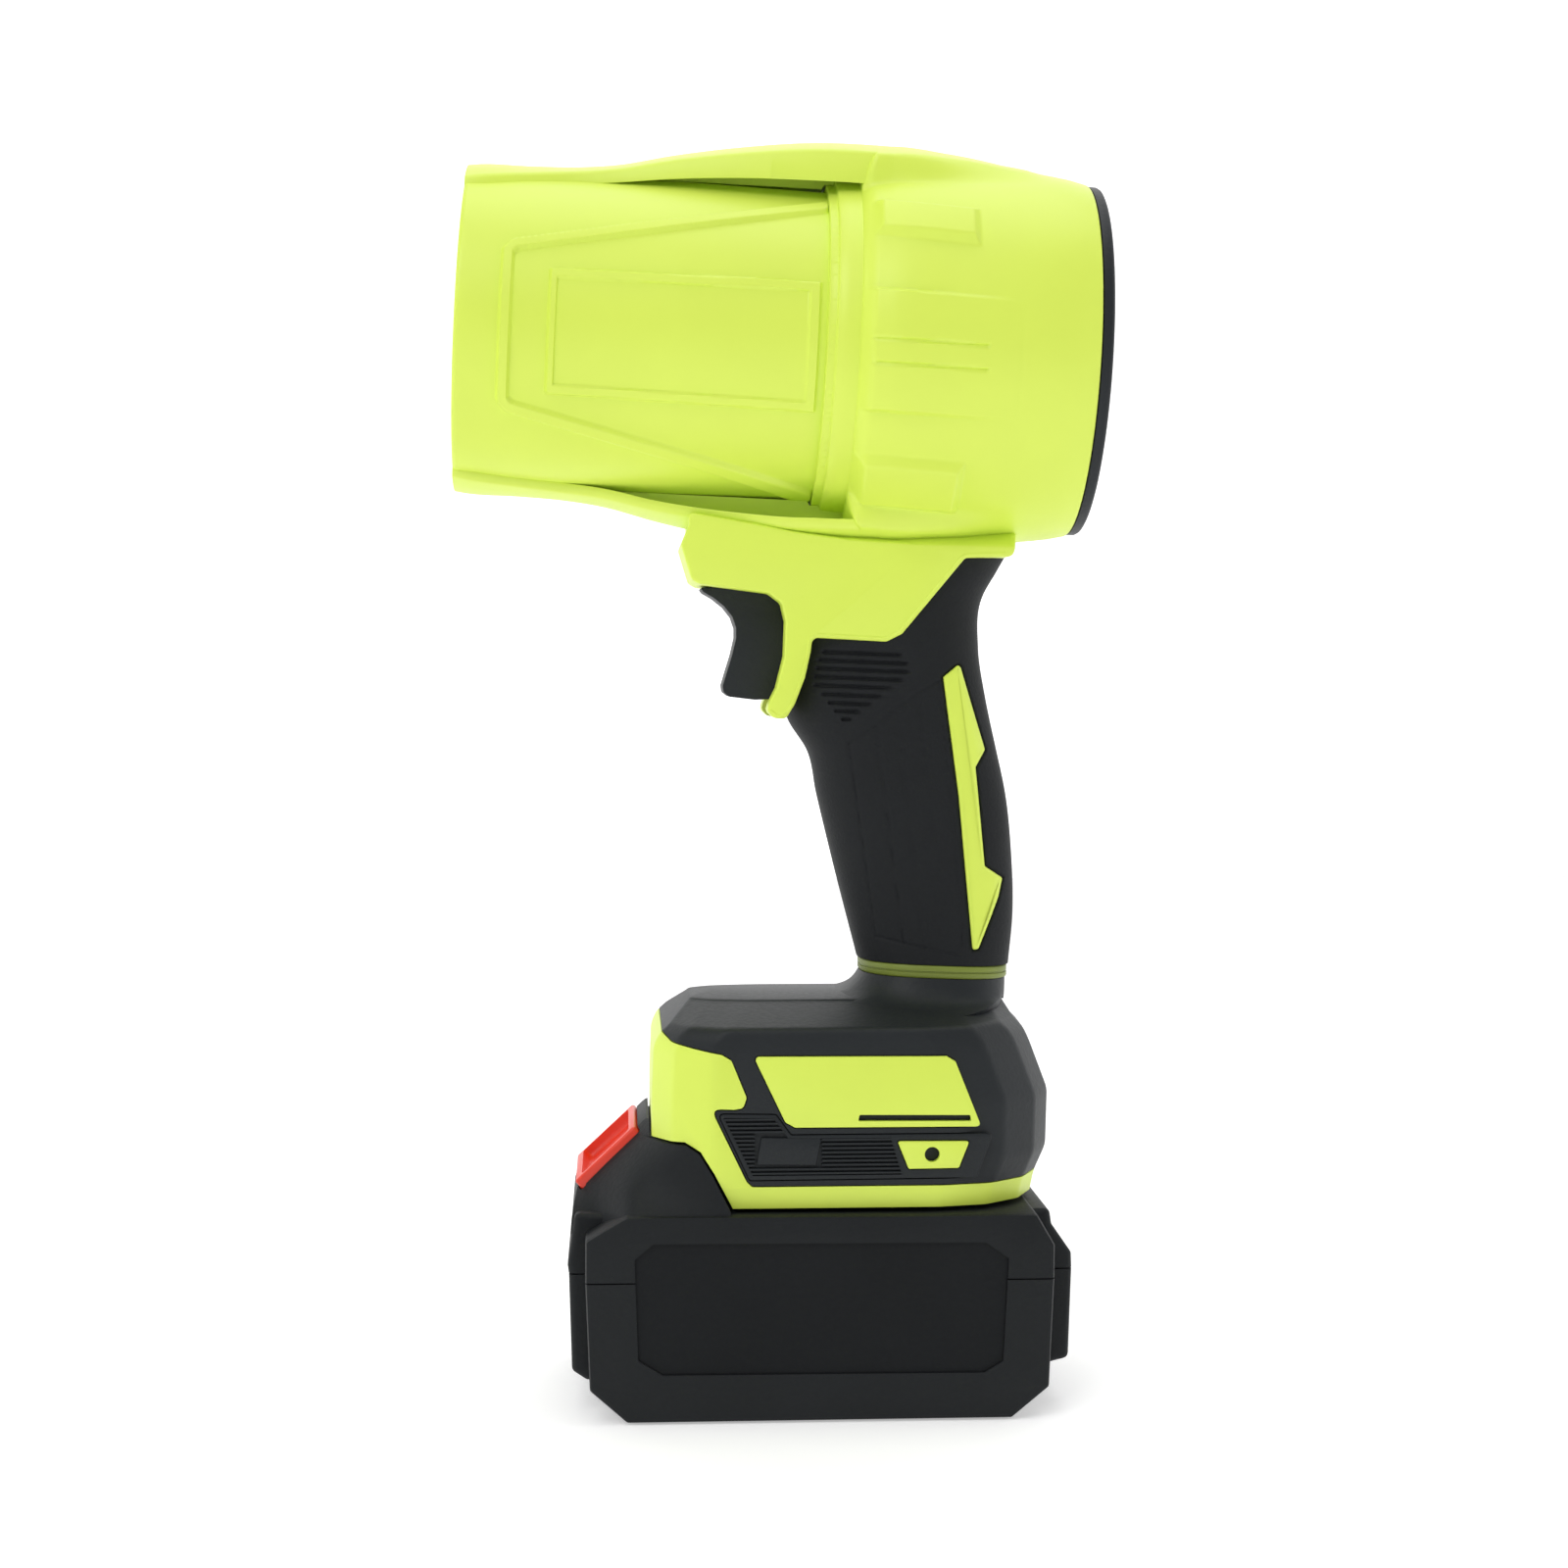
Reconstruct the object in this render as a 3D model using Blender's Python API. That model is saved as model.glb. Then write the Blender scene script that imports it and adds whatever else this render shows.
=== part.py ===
"""A cordless pistol-grip leaf blower with a slide-on battery, as separate pieces with real clearances.

Axes: +X towards the rear air intake, -X towards the nozzle, +Z up. The battery stands on Z = 0.
Outlines are written in millimetres and scaled to metres when a mesh is made.
"""
import math

import bmesh
import bpy
from mathutils import Matrix

for old in list(bpy.data.objects):
    bpy.data.objects.remove(old)

MM = 0.001

# Driving dimensions, in millimetres and degrees.
GAP = 0.3               # clearance between pieces that touch
WALL = 2.6              # moulded wall thickness
BARREL_HEIGHT = 242.9   # barrel axis above the ground at X = 0
BARREL_TILT = 2.7       # the nozzle points up by this much
TUBE_R = 36.8           # nozzle tube, outside
TUBE_BORE_R = 34.6      # nozzle tube, inside
TIP_U = -75.3           # nozzle tip, along the barrel axis
DRUM_FRONT_U = 15.0     # front lip of the drum
DRUM_REAR_U = 68.6      # rear edge of the drum
DRUM_BORE_R = 39.4      # drum, inside
RING_R = 40.95          # intake ring, outside
INTAKE_R = 36.0         # intake ring, inside
HUB_R = 17.5            # motor cup of the guide vanes
SHAFT_R = 2.0
FAN_TIP_R = 36.6
FAN_BLADES = 9
GUIDE_VANES = 7
TRIGGER_TRAVEL = 6.0
TRIGGER_HALF = 8.5      # half the trigger's width
GRIP_TILT = 0.04        # fall of the grip's foot towards the rear, as a slope
FOOT_HALF = 34.5        # half the width of the foot
BATTERY_HALF = 38.0     # half the width of the battery
SPLIT_Z = 31.0          # parting line of the battery cases
CELL_R = 9.1
CELL_LENGTH = 65.0
CELL_PITCH_X = 19.5
CELL_PITCH_Z = 19.4
BARREL_SEGMENTS = 32

LIME = ("lime_plastic", (0.66, 0.87, 0.11), 0.42, 0.0)
OLIVE = ("olive_lime_plastic", (0.38, 0.48, 0.06), 0.5, 0.0)
BLACK = ("black_plastic", (0.03, 0.032, 0.035), 0.5, 0.0)
RUBBER = ("grip_rubber", (0.025, 0.027, 0.03), 0.7, 0.0)
BATTERY_BLACK = ("battery_plastic", (0.028, 0.03, 0.034), 0.55, 0.0)
RED = ("red_plastic", (0.85, 0.09, 0.04), 0.4, 0.0)
DUCT = ("duct_plastic", (0.1, 0.1, 0.11), 0.5, 0.0)
STEEL = ("steel", (0.55, 0.56, 0.58), 0.35, 1.0)
IRON = ("motor_iron", (0.3, 0.3, 0.32), 0.5, 1.0)
COPPER = ("copper", (0.75, 0.35, 0.15), 0.35, 1.0)
BRASS = ("brass", (0.75, 0.55, 0.2), 0.35, 1.0)
BOARD = ("circuit_board", (0.02, 0.18, 0.07), 0.5, 0.0)
CELL = ("cell_wrap", (0.05, 0.25, 0.55), 0.45, 0.0)
ALUMINIUM = ("aluminium", (0.7, 0.71, 0.73), 0.4, 1.0)

BARREL = (Matrix.Translation((0, 0, BARREL_HEIGHT * MM))
          @ Matrix.Rotation(math.radians(BARREL_TILT), 4, "Y"))


# ---------------------------------------------------------------- tools

def material(spec):
    """The named Principled material, made once."""
    name, colour, roughness, metallic = spec
    found = bpy.data.materials.get(name)
    if found:
        return found
    made = bpy.data.materials.new(name)
    made.use_nodes = True
    shader = made.node_tree.nodes["Principled BSDF"]
    shader.inputs["Base Color"].default_value = (*colour, 1.0)
    shader.inputs["Roughness"].default_value = roughness
    shader.inputs["Metallic"].default_value = metallic
    return made


def solid(name, points, faces, spec=BLACK, place=None):
    """An object from points in millimetres, with its faces turned outwards."""
    mesh = bpy.data.meshes.new(name)
    mesh.from_pydata([[c * MM for c in p] for p in points], [], faces)
    work = bmesh.new()
    work.from_mesh(mesh)
    bmesh.ops.connect_verts_nonplanar(work, angle_limit=0.001, faces=work.faces)
    bmesh.ops.recalc_face_normals(work, faces=work.faces)
    work.to_mesh(mesh)
    work.free()
    mesh.materials.append(material(spec))
    made = bpy.data.objects.new(name, mesh)
    bpy.context.scene.collection.objects.link(made)
    if place is not None:
        mesh.transform(place)
    return made


def loft(name, rings, spec=BLACK, place=None):
    """A closed skin through rings of points, all with the same number of points."""
    count = len(rings[0])
    points = [p for ring in rings for p in ring]
    faces = []
    for r in range(len(rings) - 1):
        low = r * count
        for i in range(count):
            j = (i + 1) % count
            faces.append((low + i, low + j, low + count + j, low + count + i))
    faces.append(tuple(range(count)))
    faces.append(tuple(range(len(points) - count, len(points))))
    return solid(name, points, faces, spec, place)


def prism_y(name, outline, y0, y1, spec=BLACK):
    """An (x, z) outline drawn out from y0 to y1."""
    return loft(name, [[(x, y, z) for x, z in outline] for y in (y0, y1)], spec)


def box(name, low, high, spec=BLACK, place=None):
    """A block between two corners."""
    outline = [(low[0], low[1]), (high[0], low[1]), (high[0], high[1]), (low[0], high[1])]
    return loft(name, [[(x, y, z) for x, y in outline] for z in (low[2], high[2])], spec, place)


def turned(name, profile, spec=BLACK, place=None, segments=BARREL_SEGMENTS):
    """A closed (u, radius) profile turned round the local X axis; radius 0 makes a point on it."""
    points = []
    rows = []
    for u, radius in profile:
        if radius == 0:
            rows.append([len(points)] * segments)
            points.append((u, 0.0, 0.0))
            continue
        rows.append([len(points) + k for k in range(segments)])
        for k in range(segments):
            turn = 2 * math.pi * k / segments
            points.append((u, radius * math.cos(turn), radius * math.sin(turn)))
    faces = []
    for a, b in zip(rows, rows[1:] + rows[:1]):
        for k in range(segments):
            n = (k + 1) % segments
            corners = list(dict.fromkeys((a[k], a[n], b[n], b[k])))
            if len(corners) > 2:
                faces.append(tuple(corners))
    return solid(name, points, faces, spec, place)


def tube(name, u0, u1, inner, outer, spec=BLACK, place=BARREL, segments=BARREL_SEGMENTS):
    """A plain ring or sleeve round the local X axis."""
    return turned(name, [(u0, inner), (u0, outer), (u1, outer), (u1, inner)], spec, place, segments)


def rod(name, start, end, radius, spec=STEEL, count=12):
    """A round bar between two points."""
    line = [b - a for a, b in zip(start, end)]
    length = math.sqrt(sum(c * c for c in line))
    axis = [c / length for c in line]
    side = (0, 0, 1) if abs(axis[2]) < 0.9 else (1, 0, 0)
    p = [axis[1] * side[2] - axis[2] * side[1],
         axis[2] * side[0] - axis[0] * side[2],
         axis[0] * side[1] - axis[1] * side[0]]
    size = math.sqrt(sum(c * c for c in p))
    p = [c / size for c in p]
    q = [axis[1] * p[2] - axis[2] * p[1], axis[2] * p[0] - axis[0] * p[2], axis[0] * p[1] - axis[1] * p[0]]
    rings = []
    for centre in (start, end):
        ring = []
        for k in range(count):
            turn = 2 * math.pi * (k + 0.5) / count
            ring.append(tuple(centre[i] + radius * (math.cos(turn) * p[i] + math.sin(turn) * q[i])
                              for i in range(3)))
        rings.append(ring)
    return loft(name, rings, spec)


def is_closed(mesh):
    """Whether every edge of a mesh has exactly two faces."""
    work = bmesh.new()
    work.from_mesh(mesh)
    closed = len(work.faces) > 0 and all(len(edge.link_faces) == 2 for edge in work.edges)
    work.free()
    return closed


def combine(target, other, operation, keep=False):
    """Boolean of two closed objects, applied to the target."""
    for solver in ("EXACT", "MANIFOLD"):
        step = target.modifiers.new("step", "BOOLEAN")
        step.operation = operation
        step.object = other
        step.solver = solver
        graph = bpy.context.evaluated_depsgraph_get()
        result = bpy.data.meshes.new_from_object(target.evaluated_get(graph))
        target.modifiers.clear()
        if is_closed(result):
            break
    old = target.data
    target.data = result
    bpy.data.meshes.remove(old)
    if not keep:
        bpy.data.objects.remove(other)
    return target


def cut(target, *others):
    for other in others:
        combine(target, other, "DIFFERENCE")
    return target


def join(target, *others):
    for other in others:
        combine(target, other, "UNION")
    return target


def common(target, other):
    return combine(target, other, "INTERSECT")


def copy_of(source, name):
    made = source.copy()
    made.data = source.data.copy()
    made.name = name
    made.data.name = name
    bpy.context.scene.collection.objects.link(made)
    return made


def halves(whole, left_name, right_name):
    """Parts a shell on the mid-plane, with half the gap on each side."""
    reach = 200
    right = copy_of(whole, right_name)
    whole.name = left_name
    common(whole, box("half", (-reach, -reach, -reach), (reach, -GAP / 2, 2 * reach)))
    common(right, box("half", (-reach, GAP / 2, -reach), (reach, reach, 2 * reach)))
    return whole, right


def mirrored(source, name):
    """The same piece on the other side of the mid-plane."""
    made = copy_of(source, name)
    made.data.transform(Matrix.Scale(-1, 4, (0, 1, 0)))
    made.data.flip_normals()
    return made


def grown(outline, by):
    """A counter-clockwise (x, z) outline pushed outwards by a distance."""
    count = len(outline)
    result = []
    for i in range(count):
        (ax, az), (bx, bz), (cx, cz) = outline[i - 1], outline[i], outline[(i + 1) % count]
        ux, uz = bx - ax, bz - az
        vx, vz = cx - bx, cz - bz
        ul, vl = math.hypot(ux, uz), math.hypot(vx, vz)
        n1 = (uz / ul, -ux / ul)
        n2 = (vz / vl, -vx / vl)
        scale = by / max(0.3, 1 + n1[0] * n2[0] + n1[1] * n2[1])
        result.append((bx + (n1[0] + n2[0]) * scale, bz + (n1[1] + n2[1]) * scale))
    return result


def squircle(z, front, rear, half, power=2.6, count=24, tilt=0.0):
    """A level, rounded section of the grip, optionally falling towards the rear."""
    middle = (front + rear) / 2
    reach = (rear - front) / 2
    ring = []
    for k in range(count):
        turn = 2 * math.pi * k / count
        c, s = math.cos(turn), math.sin(turn)
        x = middle + reach * math.copysign(abs(c) ** (2 / power), c)
        y = half * math.copysign(abs(s) ** (2 / power), s)
        ring.append((x, y, z - tilt * (x - 35)))
    return ring


def barrel_point(u, y, v):
    """World position, in millimetres, of a point given along and above the barrel axis."""
    t = math.radians(BARREL_TILT)
    return (u * math.cos(t) + v * math.sin(t), y, BARREL_HEIGHT - u * math.sin(t) + v * math.cos(t))


# ---------------------------------------------------------------- barrel

def bridge_arch(upper):
    """One of the two arches that run from the drum, clear of the tube, to the nozzle tip."""
    stations = [  # u, outer radius, inner radius, half width
        (TIP_U, TUBE_R + 0.9, TUBE_R + GAP, 20.0),
        (-73.4, 38.1, TUBE_R + GAP, 19.9),
        (-60.0, 38.4, TUBE_R + GAP, 17.0),
        (-50.0, 38.8, TUBE_R + GAP, 15.6),
        (-41.0, 39.8, 37.3, 15.8),
        (-28.0, 42.7, 39.0, 17.2),
        (-10.0, 45.8, 40.4, 19.2),
        (4.0, 47.4, 41.0, 20.2),
        (18.0, 47.7, 41.3, 20.6),
        (35.0, 46.7, 41.3, 20.2),
        (50.0, 44.5, 41.3, 18.0),
        (60.0, 43.0, 41.0, 15.0),
    ]
    steps = 8
    sign = 1 if upper else -1
    rings = []
    for u, outer, inner, half in stations:
        if not upper:
            inner = max(inner, outer - 2.4)
        ring = []
        for radius, order in ((outer, range(steps + 1)), (inner, range(steps, -1, -1))):
            for k in order:
                y = half * (2 * k / steps - 1)
                ring.append((u, y, sign * math.sqrt(radius * radius - y * y)))
        rings.append(ring)
    return loft("arch", rings, LIME, BARREL)


GRIP_SECTIONS = [  # z, front, rear, half width
    (199.0, -2.0, 55.0, 18.6),
    (192.9, -2.0, 51.8, 18.5),
    (184.0, -2.0, 46.3, 18.3),
    (172.0, -2.0, 45.6, 18.1),
    (160.8, -0.5, 47.2, 17.8),
    (155.3, 0.4, 48.3, 17.6),
    (150.0, 5.2, 49.4, 17.4),
    (138.0, 7.6, 52.0, 17.2),
    (124.2, 10.9, 53.4, 17.0),
    (110.0, 14.4, 53.7, 17.0),
    (99.1, 17.1, 52.4, 17.0),
]
GRIP_RING_Z = (95.8, 98.8)  # bottom and top of the ring at the foot of the grip


def grip_solid(name, inset, low, high, spec=RUBBER):
    """The grip's outer form drawn in by an inset, from one height to another."""
    rings = [squircle(low, 17.1 + inset, 52.4 - inset, 17.0 - inset, tilt=GRIP_TILT)]
    for z, front, rear, half in reversed(GRIP_SECTIONS[:-1]):
        if low + 2 < z < high:
            rings.append(squircle(z, front + inset, rear - inset, half - inset, tilt=GRIP_TILT * (z < 120)))
    front, rear, half = GRIP_SECTIONS[0][1:]
    rings.append(squircle(high, front + inset, rear - inset, half - inset))
    return loft(name, rings, spec)


TRIGGER_HOUSING = [  # counter-clockwise (x, z)
    (-22.8, 201.5), (-22.8, 199.8), (-24.6, 195.4), (-22.2, 187.5), (-20.4, 186.5), (-4.5, 184.4), (-1.6, 182.2),
    (-0.6, 178.0), (-0.9, 169.9), (-2.7, 162.7), (-4.5, 159.1), (-4.9, 157.4), (-3.3, 155.8),
    (-0.6, 155.6), (1.5, 159.1), (3.8, 165.1), (5.1, 171.0), (5.4, 173.4), (6.3, 174.2), (22.5, 173.3),
    (26.1, 175.1), (40.7, 192.6), (50.0, 192.9), (56.0, 197.5), (55.0, 205.5), (14.5, 205.5), (12.0, 201.0),
]
GUARD_HALF = 18.6

SCREW_POINTS = [  # name, x, z, and how far the head sits from the mid-plane
    ("nose", -16.8, 194.2, 15.5), ("middle", 20.0, 192.4, 15.5), ("grip_top", 35.3, 170.0, 9.6),
    ("grip_middle", 32.0, 140.0, 12.4), ("grip_foot", 36.0, 108.5, 12.4),
]
FOOT_SCREW_POINTS = [("foot_front", -15.5, 83.0, 27.0), ("foot_rear", 41.5, 78.5, 24.0)]
BOSS_R = 4.0
SCREW_R = 1.6
SCREW_HEAD_R = 3.1


def screw(name, x, z, head_y):
    """A pan-head screw put in from the +Y side."""
    made = rod(name, (x, head_y, z), (x, head_y - 2.0, z), SCREW_HEAD_R)
    join(made, rod("shank", (x, head_y - 1.0, z), (x, -9.0, z), SCREW_R, STEEL, 8))
    return cut(made, box("slot", (x - 2.2, head_y - 0.9, z - 0.45), (x + 2.2, head_y + 1, z + 0.45)))


def screw_hole(x, z, head_y):
    """The stepped hole that a screw and its driver need."""
    hole = rod("hole", (x, head_y - 2.0 - GAP, z), (x, 60, z), SCREW_HEAD_R + 0.5)
    return join(hole, rod("bore", (x, head_y, z), (x, -9.0 - GAP, z), SCREW_R + 0.4, STEEL, 8))


def build_housing():
    """The two lime clamshell halves: drum, arches, trigger housing, guard and the core of the grip."""
    shell = turned("housing", [
        (DRUM_FRONT_U, 0), (DRUM_FRONT_U, 39.9), (18.3, 41.6), (22.0, 42.3), (35.0, 43.0), (48.0, 43.3),
        (58.0, 43.0), (64.0, 42.3), (DRUM_REAR_U, 41.3), (DRUM_REAR_U, 0)], LIME, BARREL)
    join(shell, bridge_arch(True), bridge_arch(False))
    # trigger housing, with chamfered flanks
    rings = []
    for y, inset in ((-GUARD_HALF, 1.2), (-GUARD_HALF + 1.6, 0), (GUARD_HALF - 1.6, 0), (GUARD_HALF, 1.2)):
        rings.append([(x, y, z) for x, z in grown(TRIGGER_HOUSING, -inset)])
    block = loft("block", rings, LIME)
    core = grip_solid("core", WALL + GAP, 92.0, 197.0, LIME)
    join(block, core)
    hollow = loft("hollow", [[(x, y, z) for x, z in [
        (-20.0, 198.4), (-21.6, 195.0), (-20.0, 189.8), (4.0, 189.8), (8.0, 176.6), (22.0, 176.2),
        (26.0, 179.0), (38.5, 194.0), (48.0, 196.0), (49.0, 198.4)]]
        for y in (-15.8, 15.8)])
    cut(block, hollow)
    cut(block, grip_solid("bore", 2 * WALL + GAP, 91.0, 190.0))
    # the slot that the trigger runs in
    cut(block, prism_y("slot", [(-17.4, 189.4), (-17.4, 186.3), (-20.4, 186.2), (-20.4, 159.3), (-6.0, 159.3),
                                (12.6, 159.3), (12.6, 189.4)], -TRIGGER_HALF - 0.5, TRIGGER_HALF + 0.5))
    join(shell, block)
    cut(shell, turned("bore", [(DRUM_FRONT_U - 3, 0), (DRUM_FRONT_U - 3, 37.9), (22.4, 37.9), (22.4, DRUM_BORE_R),
                               (80, DRUM_BORE_R), (80, 0)], LIME, BARREL))
    # passage for the motor cable
    cut(shell, rod("passage", (29.3, 0, 189), (29.3, 0, 206), 3.8))
    for _, x, z, head in SCREW_POINTS:
        join(shell, rod("boss", (x, -head - 0.6, z), (x, head + 0.6, z), BOSS_R, LIME))
    left, right = halves(shell, "housing_left", "housing_right")
    for name, x, z, head in SCREW_POINTS:
        cut(right, screw_hole(x, z, head))
        cut(left, rod("bore", (x, 1, z), (x, -9.0 - GAP, z), SCREW_R + 0.4, STEEL, 8))
        screw("screw_" + name, x, z, head)
    return left, right


def build_grip():
    """Soft covers over the grip, the arrow inlays and the ring at the foot of the grip."""
    cover = grip_solid("cover", 0.0, GRIP_RING_Z[1] + GAP, 199.0)
    cut(cover, grip_solid("core", WALL, 90.0, 201.0))
    region = [(-3.0, 154.6), (-1.0, 155.2), (1.9, 158.9), (4.2, 165.0), (5.5, 171.0), (5.8, 173.1), (6.5, 173.8),
              (22.6, 172.9), (26.4, 174.9), (40.9, 192.3), (60.0, 192.6), (60.0, 90.0), (-3.0, 90.0)]
    common(cover, prism_y("region", region, -30, 30))
    # the trigger's slot, and pockets for the inlays
    cut(cover, box("slot", (-10.0, -TRIGGER_HALF - 0.5, 159.3), (12.6, TRIGGER_HALF + 0.5, 176.0)))
    arrow = [(35.8, 165.2), (39.4, 168.0), (40.1, 167.4), (46.0, 148.4), (43.5, 144.4), (45.6, 121.5),
             (50.1, 118.6), (49.0, 114.3), (44.0, 102.5), (42.6, 102.3), (39.4, 137.6)]
    arrow.reverse()
    for side in (-1, 1):
        cut(cover, prism_y("pocket", grown(arrow, GAP), side * 7.7, side * 25.0))
    left, right = halves(cover, "grip_cover_left", "grip_cover_right")
    for name, x, z, _ in SCREW_POINTS:
        if "grip" in name:
            cut(right, rod("hole", (x, 5, z), (x, 40, z), SCREW_HEAD_R + 0.5))
    inlay = prism_y("grip_inlay_left", arrow, -30.0, -8.0, LIME)
    common(inlay, grip_solid("skin", 0.0, GRIP_RING_Z[1] + GAP, 199.0, LIME))
    cut(inlay, grip_solid("core", WALL, 90.0, 201.0, LIME))
    mirrored(inlay, "grip_inlay_right")
    ring = loft("grip_ring", [squircle(GRIP_RING_Z[0], 17.6, 52.0, 17.0, tilt=GRIP_TILT),
                              squircle(GRIP_RING_Z[1], 17.6, 52.0, 17.0, tilt=GRIP_TILT)], OLIVE)
    cut(ring, grip_solid("core", WALL, 85.0, 201.0, OLIVE))
    return left, right


def build_trigger():
    """Trigger, switch, plunger and return spring."""
    outline = [(-17.0, 189.0), (-17.0, 186.0), (-20.0, 185.9), (-19.2, 184.9), (-16.9, 183.6), (-14.4, 181.6),
               (-12.5, 179.2), (-11.6, 176.6), (-11.6, 174.3), (-12.5, 170.4), (-13.8, 166.2), (-14.7, 163.2),
               (-14.5, 161.6), (-13.2, 160.6), (-7.3, 159.9), (6.0, 159.9), (6.0, 189.0)]
    rings = []
    for y, inset in ((-TRIGGER_HALF, 1.2), (-TRIGGER_HALF + 1.4, 0), (TRIGGER_HALF - 1.4, 0), (TRIGGER_HALF, 1.2)):
        rings.append([(x, y, z) for x, z in grown(outline, -inset)])
    lever = loft("trigger", rings, BLACK)
    cut(lever, box("hollow", (-7.0, -5.5, 164.0), (8.0, 5.5, 186.0)))
    join(lever, box("rib", (-9.0, -5.5, 174.2), (3.0, 5.5, 177.8)))
    rod("switch_plunger", (3.3, 0, 176.0), (18.0, 0, 176.0), 1.6, DUCT)
    body = box("trigger_switch", (13.2, -7.5, 168.0), (30.6, 7.5, 186.0), BLACK)
    cut(body, rod("bore", (5.0, 0, 176.0), (25.0, 0, 176.0), 2.0, DUCT))
    cut(body, rod("spring_seat", (5.0, 0, 176.0), (19.2, 0, 176.0), 3.9, DUCT))
    coil("trigger_spring", (3.8, 0, 176.0), 8.8, 3.0, 0.4, 4, "X")


def bent_wire(name, points, radius, roundness, spec):
    """A round wire along a run of points, as a closed mesh."""
    curve = bpy.data.curves.new(name, "CURVE")
    curve.dimensions = "3D"
    curve.bevel_depth = radius * MM
    curve.bevel_resolution = roundness
    curve.use_fill_caps = True
    line = curve.splines.new("POLY")
    line.points.add(len(points) - 1)
    for target, (x, y, z) in zip(line.points, points):
        target.co = (x * MM, y * MM, z * MM, 1.0)
    path = bpy.data.objects.new("path", curve)
    bpy.context.scene.collection.objects.link(path)
    graph = bpy.context.evaluated_depsgraph_get()
    mesh = bpy.data.meshes.new_from_object(path.evaluated_get(graph))
    bpy.data.objects.remove(path)
    work = bmesh.new()
    work.from_mesh(mesh)
    bmesh.ops.remove_doubles(work, verts=work.verts, dist=0.00001)
    bmesh.ops.recalc_face_normals(work, faces=work.faces)
    work.to_mesh(mesh)
    work.free()
    mesh.materials.clear()
    mesh.materials.append(material(spec))
    made = bpy.data.objects.new(name, mesh)
    bpy.context.scene.collection.objects.link(made)
    return made


def coil(name, start, length, radius, wire, turns, along):
    """A compression spring running from a point along +X or +Z."""
    points = []
    count = turns * 8
    for k in range(count + 1):
        turn = 2 * math.pi * turns * k / count
        reach = length * k / count
        a, b = radius * math.cos(turn), radius * math.sin(turn)
        x, y, z = start
        points.append((x + reach, y + a, z + b) if along == "X" else (x + a, y + b, z + reach))
    return bent_wire(name, points, wire, 0, STEEL)


def build_nozzle():
    """The nozzle tube with its stepped collar and the spigot that the drum holds."""
    turned("nozzle_tube", [
        (TIP_U, TUBE_BORE_R + 0.6), (TIP_U, TUBE_R - 0.7), (TIP_U + 0.8, TUBE_R), (-26.0, TUBE_R), (7.6, 36.1),
        (7.6, 37.8), (9.7, 37.8), (9.7, 39.0), (14.7, 39.2), (14.7, 37.6), (22.0, 37.6), (22.0, TUBE_BORE_R)],
        LIME, BARREL)


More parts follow.
